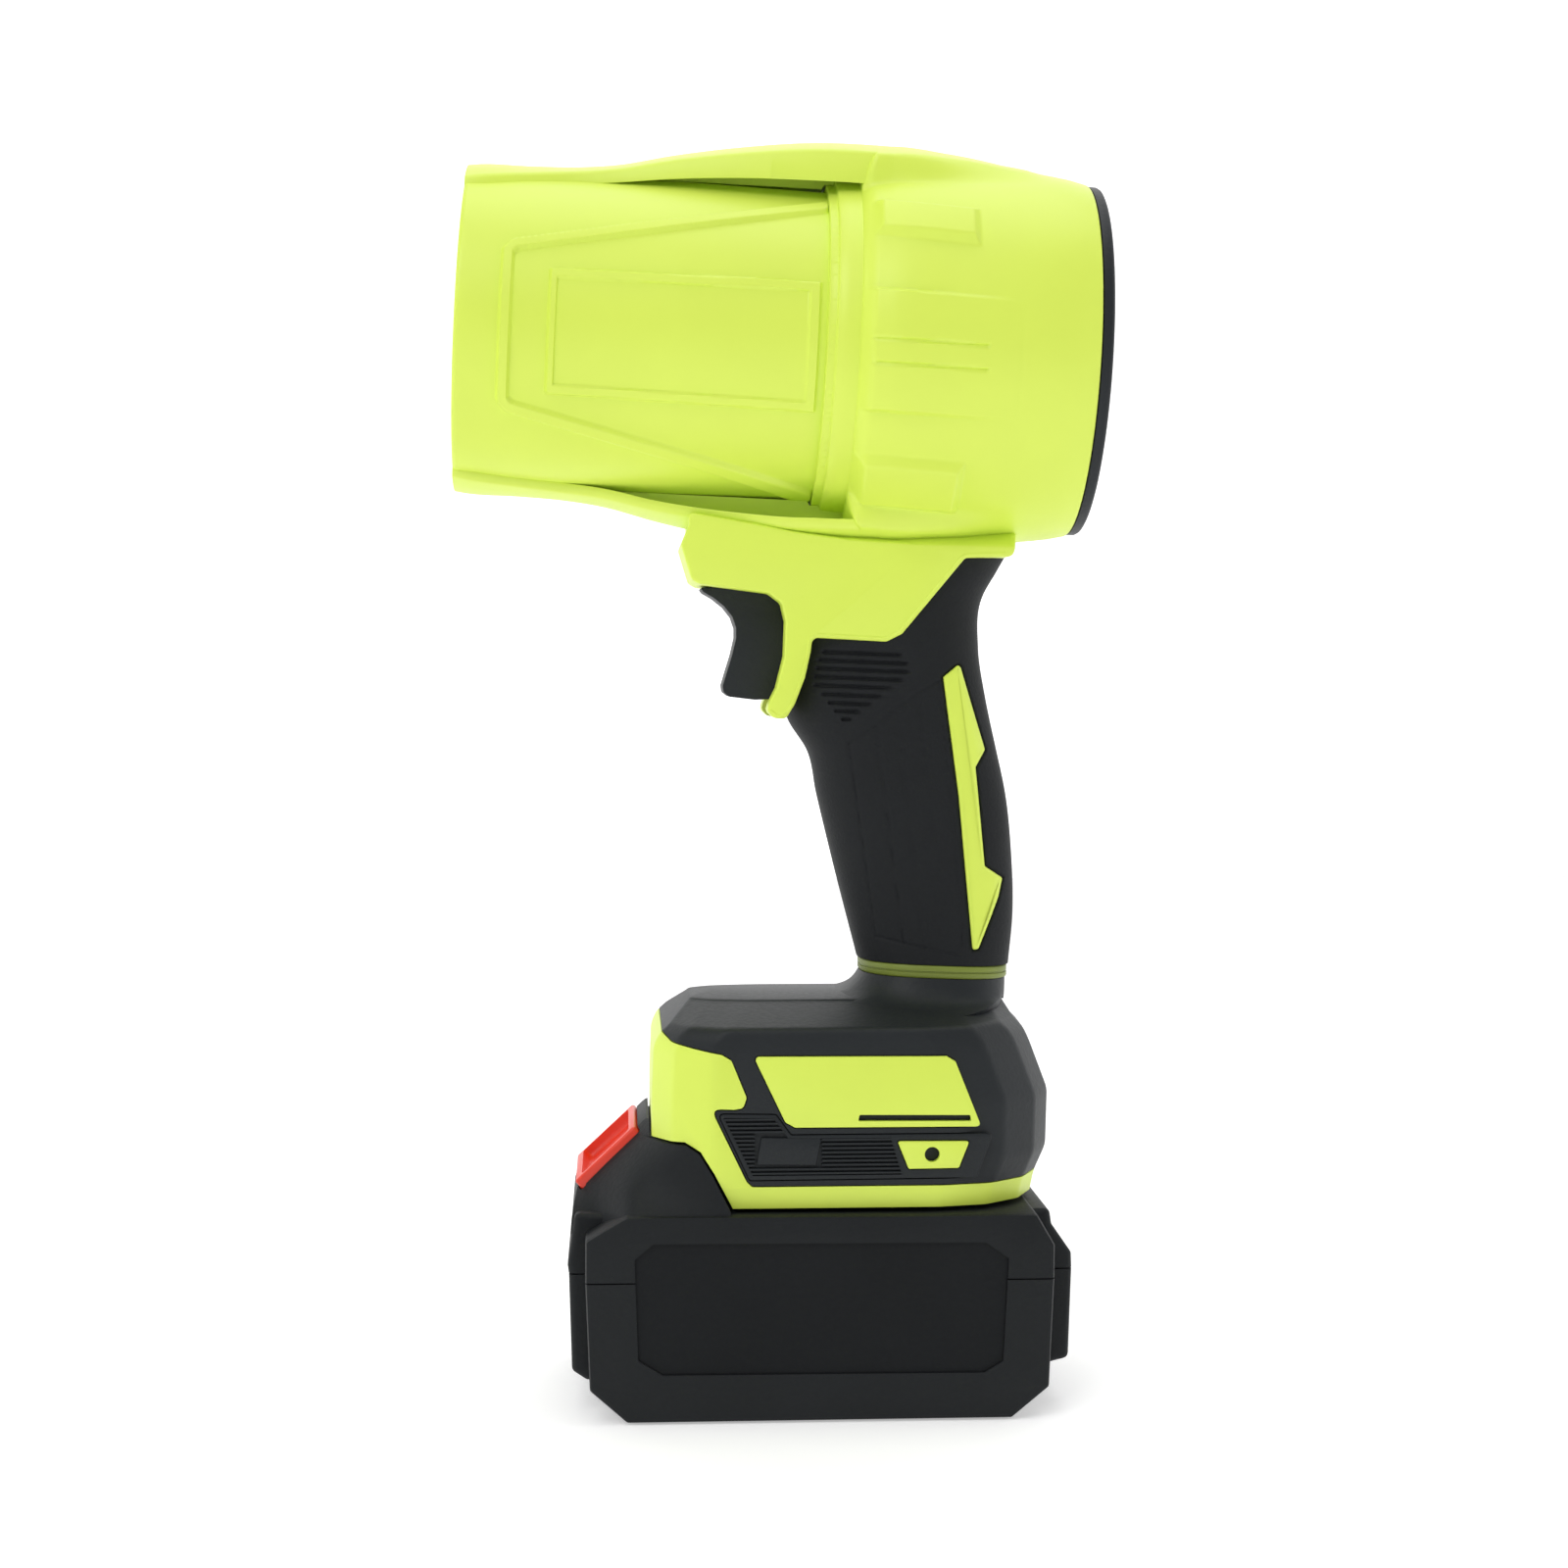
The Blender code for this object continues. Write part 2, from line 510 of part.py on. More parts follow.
def build_fan():
    """Guide vanes with the motor cup, motor, impeller, grille and intake ring."""
    tube("stator_duct", 22.6, 66.0, 37.3, DRUM_BORE_R - GAP, DUCT)
    cup = turned("guide_vanes", [(22.6, 4.6), (22.6, HUB_R), (44.0, HUB_R), (44.0, 15.2), (25.2, 15.2), (25.2, 4.6)],
                 DUCT, BARREL, 32)
    for k in range(GUIDE_VANES):
        rings = []
        for u in (25.0, 31.0, 38.0):
            lean = math.radians(-20 * ((u - 25.0) / 13.0) ** 2) + 2 * math.pi * k / GUIDE_VANES
            ring = []
            for radius, side in ((16.0, -0.8), (36.9, -0.8), (36.9, 0.8), (16.0, 0.8)):
                y = radius * math.cos(lean) - side * math.sin(lean)
                v = radius * math.sin(lean) + side * math.cos(lean)
                ring.append((u, y, v))
            rings.append(ring)
        join(cup, loft("vane", rings, DUCT, BARREL))
    turned("tail_cone", [(22.3, 0), (22.3, HUB_R), (17.0, 15.5), (10.0, 10.5), (5.0, 5.0), (3.2, 0)],
           DUCT, BARREL, 32)
    tube("motor_stator", 28.2, 40.0, 8.3, 14.8, IRON, BARREL, 24)
    tube("winding_front", 25.8, 27.9, 8.9, 14.2, COPPER, BARREL, 24)
    tube("winding_rear", 40.3, 42.6, 8.9, 14.2, COPPER, BARREL, 24)
    tube("motor_end_plate", 44.3, 46.3, 4.6, HUB_R, ALUMINIUM, BARREL, 32)
    tube("bearing_front", 22.9, 25.0, SHAFT_R + 0.3, 4.3, STEEL, BARREL, 20)
    tube("bearing_rear", 44.4, 46.2, SHAFT_R + 0.3, 4.3, STEEL, BARREL, 20)
    tube("rotor_magnet", 28.0, 40.6, SHAFT_R + 0.3, 7.8, IRON, BARREL, 24)
    turned("motor_shaft", [(22.7, 0), (22.7, SHAFT_R), (64.4, SHAFT_R), (64.4, 0)], STEEL, BARREL, 16)
    hub = turned("impeller", [(47.0, SHAFT_R + 0.3), (47.0, 17.3), (52.0, 16.4), (58.0, 12.6), (61.6, 8.0),
                              (61.6, SHAFT_R + 0.3)], BLACK, BARREL, 24)
    for k in range(FAN_BLADES):
        rings = []
        for step in range(4):
            u = 48.2 + step * 3.9
            lean = 2 * math.pi * k / FAN_BLADES + math.radians(17 * step + 4)
            root = 12.5 - 1.6 * step
            ring = []
            for radius, side in ((root, -0.6), (FAN_TIP_R, -0.45), (FAN_TIP_R, 0.45), (root, 0.6)):
                y = radius * math.cos(lean) - side * math.sin(lean)
                v = radius * math.sin(lean) + side * math.cos(lean)
                ring.append((u, y, v))
            rings.append(ring)
        join(hub, loft("blade", rings, BLACK, BARREL))
    turned("impeller_nut", [(61.9, SHAFT_R + 0.3), (61.9, 6.4), (64.0, 5.6), (65.6, 3.4), (66.0, 0), (64.8, 0),
                            (64.8, SHAFT_R + 0.3)], STEEL, BARREL, 16)
    grille = tube("intake_grille", 66.4, 68.4, 36.2, DRUM_BORE_R - GAP, BLACK)
    for radius in (13.0, 24.5):
        join(grille, tube("hoop", 66.5, 68.3, radius, radius + 1.5, BLACK, BARREL, 24))
    join(grille, turned("button", [(66.5, 0), (66.5, 4.4), (68.3, 4.4), (68.3, 0)], BLACK, BARREL, 12))
    for k in range(6):
        turn = Matrix.Rotation(math.pi * k / 3 + 0.26, 4, "X")
        join(grille, box("spoke", (66.6, -0.9, 3.0), (68.2, 0.9, 37.0), BLACK, BARREL @ turn))
    turned("intake_ring", [(68.9, INTAKE_R), (68.9, RING_R), (71.0, RING_R - 0.1), (71.5, RING_R - 0.6),
                           (71.5, INTAKE_R + 0.6), (71.0, INTAKE_R)], BLACK, BARREL)


# ---------------------------------------------------------------- foot

FOOT_SECTIONS = [  # z, front x, rear x, half width, front chamfer (x, y), rear chamfer (x, y)
    (46.3, -31.0, 55.0, 33.8, (12, 11), (20, 22)),
    (51.5, -31.2, 56.0, 34.3, (12, 11), (20, 22)),
    (57.0, -31.4, 59.0, FOOT_HALF, (12, 11), (19, 20)),
    (70.0, -31.4, 59.3, FOOT_HALF, (12, 11), (18, 20)),
    (81.5, -31.0, 55.0, FOOT_HALF, (12, 11), (18, 20)),
    (86.6, -29.6, 53.0, 33.6, (11, 11), (18, 19)),
    (91.2, -22.0, 50.5, 17.0, (8, 7), (12, 9)),
    (92.6, -17.0, 47.0, 9.0, (5, 4), (8, 5)),
]

FOOT_CUT = [(-40.0, 45.0), (-13.3, 45.0), (-13.3, 46.5), (-17.5, 54.5), (-20.5, 59.2), (-24.0, 61.2), (-40.0, 61.2)]

TRIM_REGION = [(-40.0, 40.0), (70.0, 40.0), (70.0, 51.4), (-9.1, 51.4), (-10.3, 52.6), (-18.3, 69.0), (-13.1, 68.8),
               (-11.1, 69.1), (-10.3, 71.4), (-13.7, 79.7), (-15.9, 81.0), (-22.1, 82.1), (-26.7, 83.7),
               (-29.0, 88.1), (-40.0, 88.1)]

LABEL_OUTLINE = [(-1.7, 65.9), (0.5, 64.7), (42.3, 64.6), (36.5, 79.2), (34.5, 80.4), (-7.9, 80.6), (-8.4, 79.8)]
PANEL_OUTLINE = [(-9.6, 53.0), (41.4, 53.2), (44.9, 63.0), (-0.4, 63.0), (-3.8, 67.6), (-16.6, 67.8)]
CLIP_OUTLINE = [(25.9, 55.3), (37.2, 55.4), (39.6, 61.4), (23.4, 61.5)]


def foot_ring(z, front, rear, half, front_cut, rear_cut, inset=0.0):
    """One eight-cornered level section of the foot."""
    front, rear, half = front + inset, rear - inset, half - inset
    corners = [(front, half - front_cut[1]), (front + front_cut[0], half), (rear - rear_cut[0], half),
               (rear, half - rear_cut[1])]
    return ([(x, y, z) for x, y in corners] + [(x, -y, z) for x, y in reversed(corners)])


def foot_solid(inset, low=None, high=None):
    rings = []
    for z, *rest in FOOT_SECTIONS:
        if low is not None and z == FOOT_SECTIONS[0][0]:
            z = low
        if high is not None and z > high - 1:
            continue
        rings.append(foot_ring(z, *rest, inset=inset))
    if high is not None:
        rings.append([(x, y, high) for x, y, _ in rings[-1]])
    return loft("foot", rings)


def build_foot():
    """Foot shells, trim, side plates and the rails that carry the battery."""
    body = foot_solid(0.0)
    neck = loft("neck", [squircle(85.0, 6.0, 51.0, 23.0, 2.3, 32), squircle(93.0, 13.0, 50.5, 19.5, 2.4, 32),
                         squircle(95.2, 17.4, 50.4, 17.0, 2.6, 32, GRIP_TILT)])
    join(body, neck)
    cut(body, prism_y("under", FOOT_CUT, -50, 50))
    trim = copy_of(body, "foot_trim")
    cut(body, foot_solid(3.0, 40.0, 88.0))
    cut(body, grip_solid("core", WALL, 80.0, 120.0))
    cut(trim, foot_solid(2.7, 40.0, 96.0))
    common(trim, prism_y("region", TRIM_REGION, -50, 50, LIME))
    trim.data.materials.clear()
    trim.data.materials.append(material(LIME))
    cut(body, prism_y("region", grown(TRIM_REGION, GAP), -50, 50))
    for side in (-1, 1):
        ledge = [(21.5, 47.2), (30.6, 47.2), (30.6, 52.4), (33.0, 52.4), (33.0, 53.0), (21.5, 53.0)]
        rings = [[(x, side * y, z) for y, z in ledge] for x in (-8.0, 32.0)]
        join(body, loft("ledge", rings))
        cut(body, prism_y("pocket", grown(LABEL_OUTLINE, GAP), side * 33.2, side * 50))
        cut(body, prism_y("pocket", grown(PANEL_OUTLINE, GAP), side * 33.2, side * 50))
    for _, x, z, head in FOOT_SCREW_POINTS:
        join(body, rod("boss", (x, -head - 1.6, z), (x, head + 1.6, z), BOSS_R, BLACK))
    left, right = halves(body, "foot_left", "foot_right")
    for name, x, z, head in FOOT_SCREW_POINTS:
        cut(right, screw_hole(x, z, head))
        cut(left, rod("bore", (x, 1, z), (x, -9.0 - GAP, z), SCREW_R + 0.4, STEEL, 8))
        screw("screw_" + name, x, z, head)
    label = prism_y("label_plate_left", LABEL_OUTLINE, -35.0, -33.5, LIME)
    mirrored(label, "label_plate_right")
    panel = prism_y("side_panel_left", PANEL_OUTLINE, -34.8, -33.5, BLACK)
    cut(panel, prism_y("window", grown(CLIP_OUTLINE, GAP), -40, -30))
    mirrored(panel, "side_panel_right")
    clip = prism_y("screw_plate_left", CLIP_OUTLINE, -35.2, -33.5, LIME)
    cut(clip, rod("hole", (31.2, -40, 58.5), (31.2, -30, 58.5), 1.7, STEEL, 16))
    mirrored(clip, "screw_plate_right")
    return left, right, trim


def build_electrics():
    """Control board, heat sink, terminal block, blades and the motor cable."""
    box("control_board", (-18.0, -24.0, 66.0), (44.0, 24.0, 67.6), BOARD)
    sink = box("heat_sink", (-14.0, -20.0, 67.9), (10.0, 20.0, 70.4), ALUMINIUM)
    for k in range(6):
        y = -18.0 + 7.2 * k
        join(sink, box("fin", (-14.0, y - 0.8, 70.0), (10.0, y + 0.8, 78.0), ALUMINIUM))
    block = box("terminal_block", (32.5, -17.0, 47.0), (43.0, 17.0, 62.0), BLACK)
    for name, y in (("blade_positive", -11.0), ("blade_negative", 11.0)):
        box(name, (19.0, y - 0.4, 50.0), (38.0, y + 0.4, 56.0), BRASS)
        cut(block, box("socket", (30.0, y - 0.7, 49.7), (38.3, y + 0.7, 56.3)))
    route = [(24.0, 6.0, 67.9), (25.0, 6.0, 82.0), (29.0, 4.0, 96.0), (27.0, 3.0, 115.0), (24.0, 3.0, 130.0),
             (23.5, 4.0, 148.0), (22.0, 10.4, 162.0), (22.0, 10.4, 186.8), (27.5, 4.0, 190.2), (29.3, 0.0, 193.8),
             (29.3, 0.0, 202.0)]
    bent_wire("motor_cable", route, 1.8, 1, RUBBER)


# ---------------------------------------------------------------- battery

PLATE_OUTLINE = [(-36.9, 0.0), (48.8, 0.0), (57.2, 6.8), (58.4, 31.0), (58.5, 38.5), (54.5, 45.4), (-37.0, 45.7),
                 (-46.2, 40.4), (-46.2, 31.0), (-45.2, 7.2)]
END_OUTLINE = [(-46.0, 7.0), (60.0, 9.0), (63.2, 9.8), (64.0, 31.0), (64.0, 35.5), (62.0, 39.5), (57.0, 45.2), (-13.5, 45.2),
               (-48.7, 45.2), (-50.3, 33.0), (-50.0, 31.0), (-49.3, 9.2)]
NOSE_OUTLINE = [(-48.4, 42.0), (-13.9, 42.0), (-13.9, 46.2), (-18.0, 54.2), (-20.9, 58.8), (-24.1, 60.7),
                (-31.9, 60.7), (-31.9, 64.2), (-33.4, 63.2), (-47.8, 49.8), (-48.7, 46.0)]
NOSE_ROOM = [(-45.6, 40.0), (-17.0, 40.0), (-20.0, 52.0), (-23.0, 57.4), (-25.0, 58.4), (-34.2, 58.4), (-35.0, 58.6),
             (-45.4, 49.0), (-46.2, 46.0)]


def battery_form(inset):
    """The outside of the battery, or with an inset the room inside it."""
    rings = []
    for y, draw in ((-BATTERY_HALF + inset, 1.0), (-BATTERY_HALF + 1.6 + inset, 0),
                    (BATTERY_HALF - 1.6 - inset, 0), (BATTERY_HALF - inset, 1.0)):
        rings.append([(x, y, z) for x, z in grown(PLATE_OUTLINE, -draw - inset)])
    form = loft("form", rings, BATTERY_BLACK)
    half = 27.0 - inset
    rings = []
    for y, draw in ((-half, 1.5), (-half + 2.5, 0), (half - 2.5, 0), (half, 1.5)):
        rings.append([(x, y, z) for x, z in grown(END_OUTLINE, -draw - inset)])
    join(form, loft("ends", rings, BATTERY_BLACK))
    if inset:
        return join(form, prism_y("nose", NOSE_ROOM, -26.0, 26.0, BATTERY_BLACK))
    rings = []
    for y, draw in ((-30, 0.7), (-28.5, 0), (28.5, 0), (30, 0.7)):
        rings.append([(x, y, z) for x, z in grown(NOSE_OUTLINE, -draw)])
    return join(form, loft("nose", rings, BATTERY_BLACK))


def cell_centres():
    for layer in range(2):
        for column in range(5):
            yield (6.1 + CELL_PITCH_X * (column - 2), 12.3 + CELL_PITCH_Z * layer)


def build_battery():
    """Cases, cells, cell holders, board, contacts and latch button of the battery."""
    form = battery_form(0.0)
    inner = battery_form(2.2)
    lower = copy_of(form, "battery_lower_case")
    common(lower, box("half", (-90, -60, -5), (90, 60, SPLIT_Z - GAP / 2), BATTERY_BLACK))
    combine(lower, inner, "DIFFERENCE", keep=True)
    upper = form
    upper.name = "battery_upper_case"
    common(upper, box("half", (-90, -60, SPLIT_Z + GAP / 2), (90, 60, 90), BATTERY_BLACK))
    # rail block with its flanges, and the rear slots that the tool's blades enter
    rail = box("rail", (-13.0, -20.9, 44.0), (32.0, 20.9, 59.2), BATTERY_BLACK)
    join(rail, box("flange", (-13.0, -27.5, 53.5), (32.0, 27.5, 57.6), BATTERY_BLACK))
    join(rail, box("bridge", (-20.0, -16.0, 44.0), (-12.0, 16.0, 53.0), BATTERY_BLACK))
    join(upper, rail)
    room = box("room", (-10.5, -18.5, 40.0), (29.6, 18.5, 56.8), BATTERY_BLACK)
    join(room, inner)
    cut(upper, room)
    for y in (-11.0, 11.0):
        cut(upper, box("slot", (25.0, y - 1.0, 48.0), (40.0, y + 1.0, 60.0)))
    # window in the sloping front for the button
    button_line = Matrix.Translation((-40.6 * MM, 0, 56.5 * MM)) @ Matrix.Rotation(math.radians(-42.8), 4, "Y")
    cut(upper, box("window", (-9.0, -14.0, -6.0), (8.6, 14.0, 6.0), BATTERY_BLACK, button_line))
    button = box("release_button", (-8.6, -13.5, -2.4), (8.2, 13.5, -0.4), RED, button_line)
    cut(button, box("scoop", (-7.0, -12.0, -1.5), (6.6, 12.0, 6.0), RED, button_line))
    join(button, box("stem", (-40.8, -5.0, 48.2), (-36.8, 5.0, 55.2), RED))
    coil("latch_spring", (-38.2, 0, 43.5), 4.0, 2.6, 0.35, 3, "Z")
    half = CELL_LENGTH / 2
    for row, name in enumerate(("cell_row_lower", "cell_row_upper")):
        centres = [centre for centre in cell_centres() if centre[1] > 20 * row][:5]
        pack = None
        for x, z in centres:
            cell = rod(name, (x, -half, z), (x, half, z), CELL_R, CELL)
            pack = join(pack, cell) if pack else cell
        for side in (-1, 1):
            low, high = sorted((side * (half - 0.4), side * (half + 0.3)))
            strip = box("strip", (centres[0][0], low, z - 3.0), (centres[-1][0], high, z + 3.0), STEEL)
            join(pack, strip)
    holder = box("cell_holder_left", (-43.4, -31.0, 2.6), (55.6, -26.0, 41.0), BLACK)
    for x, z in cell_centres():
        cut(holder, rod("bore", (x, -33, z), (x, -24, z), CELL_R + 0.36, CELL))
    common(holder, battery_form(2.7))
    mirrored(holder, "cell_holder_right")
    box("battery_board", (-41.0, -20.0, 41.3), (26.0, 20.0, 42.8), BOARD)
    for name, y in (("contact_positive", -11.0), ("contact_negative", 11.0)):
        clip = box(name, (18.0, y - 2.2, 43.1), (28.8, y + 2.2, 56.0), BRASS)
        cut(clip, box("gap", (17.0, y - 1.2, 44.4), (30.0, y + 1.2, 57.0), BRASS))


build_housing()
build_grip()
build_trigger()
build_nozzle()
build_fan()
build_foot()
build_electrics()
build_battery()

for piece in bpy.data.objects:
    if piece.type == "MESH":
        piece.data.shade_smooth()
        piece.data.set_sharp_from_angle(angle=math.radians(35))
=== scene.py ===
import math

import bmesh
import bpy
import numpy as np
from mathutils import Matrix, Vector


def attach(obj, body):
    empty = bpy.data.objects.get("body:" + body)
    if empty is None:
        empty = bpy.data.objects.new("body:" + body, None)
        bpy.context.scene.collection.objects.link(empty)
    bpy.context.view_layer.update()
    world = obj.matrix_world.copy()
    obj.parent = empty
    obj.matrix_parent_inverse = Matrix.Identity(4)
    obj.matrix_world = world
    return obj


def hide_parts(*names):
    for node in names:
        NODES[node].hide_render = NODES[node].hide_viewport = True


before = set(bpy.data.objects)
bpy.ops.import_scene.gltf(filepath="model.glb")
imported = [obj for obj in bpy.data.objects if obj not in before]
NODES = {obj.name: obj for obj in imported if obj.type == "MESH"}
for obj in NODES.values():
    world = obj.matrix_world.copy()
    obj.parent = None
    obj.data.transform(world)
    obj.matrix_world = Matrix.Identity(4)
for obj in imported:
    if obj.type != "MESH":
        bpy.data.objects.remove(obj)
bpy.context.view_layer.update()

MM = 0.001
AXIS_Z = 242.9
TILT = math.radians(2.7)
TIP_U = -75.3
DRUM_FRONT_U = 15.0
DRUM_REAR_U = 68.6
DRUM_BORE_R = 37.9
TUBE_R = 36.8
TUBE_BORE_R = 34.6
WEB_HALF = 6
HOUSING_HALF = 18.6
HOUSING_CORE_HALF = 11.0
GRIP_POWER = 2.6  # squareness of the level sections of the grip, its ring and the neck
HEAD_HOLE_R = 3.6
HEAD_HOLE_DEPTH = 2.3  # from the outer face of a screw's head to the bottom of its hole
HOUSING_SCREWS = [(-16.8, 194.2, 15.5), (20.0, 192.4, 15.5)]  # x, z, y of the head's outer face
GRIP_SCREWS = [(35.3, 170.0, 9.6), (32.0, 140.0, 12.4), (36.0, 108.5, 12.4)]
FOOT_SCREWS = [(-15.5, 83.0, 27.0), (41.5, 78.5, 24.0)]
POCKET_FLOOR = 33.4
PLATE_INNER = 33.5  # inner face of the plates on the foot's sides, just off the pocket's floor
RAIL_SLOT_Y = 11.0
BEAD_R = 0.45
BEAD_Y = 18.3
BUTTON_ANGLE = math.radians(-42.8)
GRIP_TILT = 0.04


# ---------------------------------------------------------------- materials

def material(name, colour, roughness, metallic=0.0, grain=0.0, grain_scale=900.0, mottle=0.04,
             specular=0.5):
    """Moulded or metal surface: small colour and roughness variation, and a fine grain in the bump."""
    made = bpy.data.materials.new(name)
    made.use_nodes = True
    tree = made.node_tree
    shader = tree.nodes["Principled BSDF"]
    shader.inputs["Metallic"].default_value = metallic
    shader.inputs["Specular IOR Level"].default_value = specular
    place = tree.nodes.new("ShaderNodeTexCoord")
    cloud = tree.nodes.new("ShaderNodeTexNoise")
    cloud.inputs["Scale"].default_value = 45.0
    cloud.inputs["Detail"].default_value = 5.0
    tree.links.new(place.outputs["Object"], cloud.inputs["Vector"])
    ramp = tree.nodes.new("ShaderNodeValToRGB")
    dark = [c * (1 - mottle) for c in colour]
    light = [min(1.0, c * (1 + mottle)) for c in colour]
    ramp.color_ramp.elements[0].color = (*dark, 1)
    ramp.color_ramp.elements[0].position = 0.3
    ramp.color_ramp.elements[1].color = (*light, 1)
    ramp.color_ramp.elements[1].position = 0.7
    tree.links.new(cloud.outputs["Fac"], ramp.inputs["Fac"])
    tree.links.new(ramp.outputs["Color"], shader.inputs["Base Color"])
    fine = tree.nodes.new("ShaderNodeTexNoise")
    fine.inputs["Scale"].default_value = grain_scale
    fine.inputs["Detail"].default_value = 3.0
    tree.links.new(place.outputs["Object"], fine.inputs["Vector"])
    spread = tree.nodes.new("ShaderNodeMapRange")
    spread.inputs["To Min"].default_value = max(0.05, roughness - 0.05)
    spread.inputs["To Max"].default_value = min(1.0, roughness + 0.06)
    tree.links.new(fine.outputs["Fac"], spread.inputs["Value"])
    tree.links.new(spread.outputs["Result"], shader.inputs["Roughness"])
    if grain:
        bump = tree.nodes.new("ShaderNodeBump")
        bump.inputs["Strength"].default_value = grain
        bump.inputs["Distance"].default_value = 0.0002
        tree.links.new(fine.outputs["Fac"], bump.inputs["Height"])
        tree.links.new(bump.outputs["Normal"], shader.inputs["Normal"])
    return made


LOOKS = {
    "lime_plastic": material("lime_plastic_look", (0.71, 0.87, 0.104), 0.42, grain=0.12, mottle=0.015),
    # olive: the lime core's own colour darkened, as painted shade for the recessed band at the foot of the
    # grip
    "olive_lime_plastic": material("olive_lime_plastic_look", (0.19, 0.24, 0.03), 0.5, grain=0.12),
    "black_plastic": material("black_plastic_look", (0.0122, 0.0152, 0.0178), 0.5, grain=0.35, mottle=0.08,
                              specular=0.3),
    "grip_rubber": material("grip_rubber_look", (0.0108, 0.0122, 0.0138), 0.66, grain=0.5, grain_scale=1400,
                            mottle=0.08, specular=0.2),
    "inset_plastic": material("inset_plastic_look", (0.0078, 0.009, 0.0104), 0.6, grain=0.45, mottle=0.08,
                              specular=0.16),
    "battery_plastic": material("battery_plastic_look", (0.0108, 0.0126, 0.0142), 0.55, grain=0.45,
                                mottle=0.08, specular=0.2),
    "red_plastic": material("red_plastic_look", (0.80, 0.045, 0.020), 0.38, grain=0.1),
    "duct_plastic": material("duct_plastic_look", (0.03, 0.031, 0.033), 0.5, grain=0.3, mottle=0.08),
    "steel": material("steel_look", (0.55, 0.56, 0.58), 0.32, 1.0, grain=0.15),
    "motor_iron": material("motor_iron_look", (0.28, 0.28, 0.30), 0.5, 1.0, grain=0.3),
    "copper": material("copper_look", (0.75, 0.33, 0.14), 0.35, 1.0, grain=0.2),
    "brass": material("brass_look", (0.75, 0.55, 0.2), 0.3, 1.0, grain=0.1),
    "circuit_board": material("circuit_board_look", (0.015, 0.15, 0.05), 0.45, grain=0.2, mottle=0.15),
    "cell_wrap": material("cell_wrap_look", (0.04, 0.22, 0.5), 0.4, grain=0.05),
    "aluminium": material("aluminium_look", (0.68, 0.69, 0.71), 0.42, 1.0, grain=0.3),
}
# nodes that no piece replaces take the same looks
for node in NODES.values():
    for holder in node.material_slots:
        base = holder.material.name.split(".")[0]
        if base in LOOKS:
            holder.material = LOOKS[base]


# ---------------------------------------------------------------- tools

def barrel(u, y, v):
    """From the barrel's own axes to the row frame, in millimetres."""
    return (u * math.cos(TILT) + v * math.sin(TILT), y, AXIS_Z - u * math.sin(TILT) + v * math.cos(TILT))


def raw_object(name, points, faces):
    """An object from points in millimetres, with doubles merged and faces turned outwards."""
    mesh = bpy.data.meshes.new(name)
    mesh.from_pydata((np.asarray(points, dtype=float) * MM).tolist(), [], faces)
    work = bmesh.new()
    work.from_mesh(mesh)
    bmesh.ops.remove_doubles(work, verts=work.verts, dist=0.000001)
    bmesh.ops.recalc_face_normals(work, faces=work.faces)
    work.to_mesh(mesh)
    work.free()
    made = bpy.data.objects.new(name, mesh)
    bpy.context.scene.collection.objects.link(made)
    return made


def loft(name, rings):
    """A closed body through rings with the same number of points."""
    size = len(rings[0])
    points = [p for ring in rings for p in ring]
    faces = []
    for i in range(len(rings) - 1):
        for k in range(size):
            n = (k + 1) % size
            faces.append((i * size + k, i * size + n, (i + 1) * size + n, (i + 1) * size + k))
    faces.append(tuple(range(size)))
    faces.append(tuple(range(len(points) - size, len(points))))
    return raw_object(name, points, faces)


def prism(name, outline, y0, y1):
    """An (x, z) outline drawn out along y."""
    return loft(name, [[(x, y0, z) for x, z in outline], [(x, y1, z) for x, z in outline]])


def box(name, low, high):
    """A block between two opposite corners."""
    x0, y0, z0 = low
    x1, y1, z1 = high
    return prism(name, [(x0, z0), (x1, z0), (x1, z1), (x0, z1)], y0, y1)


def rod(name, start, end, radius):
    """A round bar between two points."""
    count = 32
    start, end = Vector(start), Vector(end)
    turn = (end - start).to_track_quat("Z", "Y")
    rings = []
    for centre in (start, end):
        rings.append([tuple(centre + turn @ Vector((radius * math.cos(2 * math.pi * k / count),
                                                    radius * math.sin(2 * math.pi * k / count), 0)))
                      for k in range(count)])
    return loft(name, rings)


def rounded(outline, radius=1.0, steps=5):
    """Rounds each corner of an outline; radius is one number or one for each corner."""
    count = len(outline)
    radii = radius if isinstance(radius, (list, tuple)) else [radius] * count
    made = []
    for i in range(count):
        before, corner, after = (Vector(outline[i - 1]), Vector(outline[i]), Vector(outline[(i + 1) % count]))
        a, b = before - corner, after - corner
        turn = a.angle(b) / 2
        reach = min(radii[i] / max(0.05, math.tan(turn)), 0.46 * a.length, 0.46 * b.length)
        if reach < 0.02:
            made.append(tuple(corner))
            continue
        p, q = corner + a.normalized() * reach, corner + b.normalized() * reach
        for k in range(steps + 1):
            t = k / steps
            made.append(tuple(p * (1 - t) ** 2 + corner * 2 * t * (1 - t) + q * t * t))
    return made


def grown(outline, by):
    """An anticlockwise outline moved outwards by a distance."""
    count = len(outline)
    made = []
    for i in range(count):
        before, here, after = Vector(outline[i - 1]), Vector(outline[i]), Vector(outline[(i + 1) % count])
        a, b = (here - before).normalized(), (after - here).normalized()
        n = Vector((a.y, -a.x)) + Vector((b.y, -b.x))
        n = n / max(0.3, n.length)
        scale = min(2.0, 1 / max(0.3, n.dot(Vector((a.y, -a.x)))))
        made.append(tuple(here + n * by * scale))
    return made


def area(outline):
    """Signed area of an outline: positive when it runs anticlockwise."""
    return sum(a[0] * b[1] - b[0] * a[1] for a, b in zip(outline, outline[1:] + outline[:1])) / 2


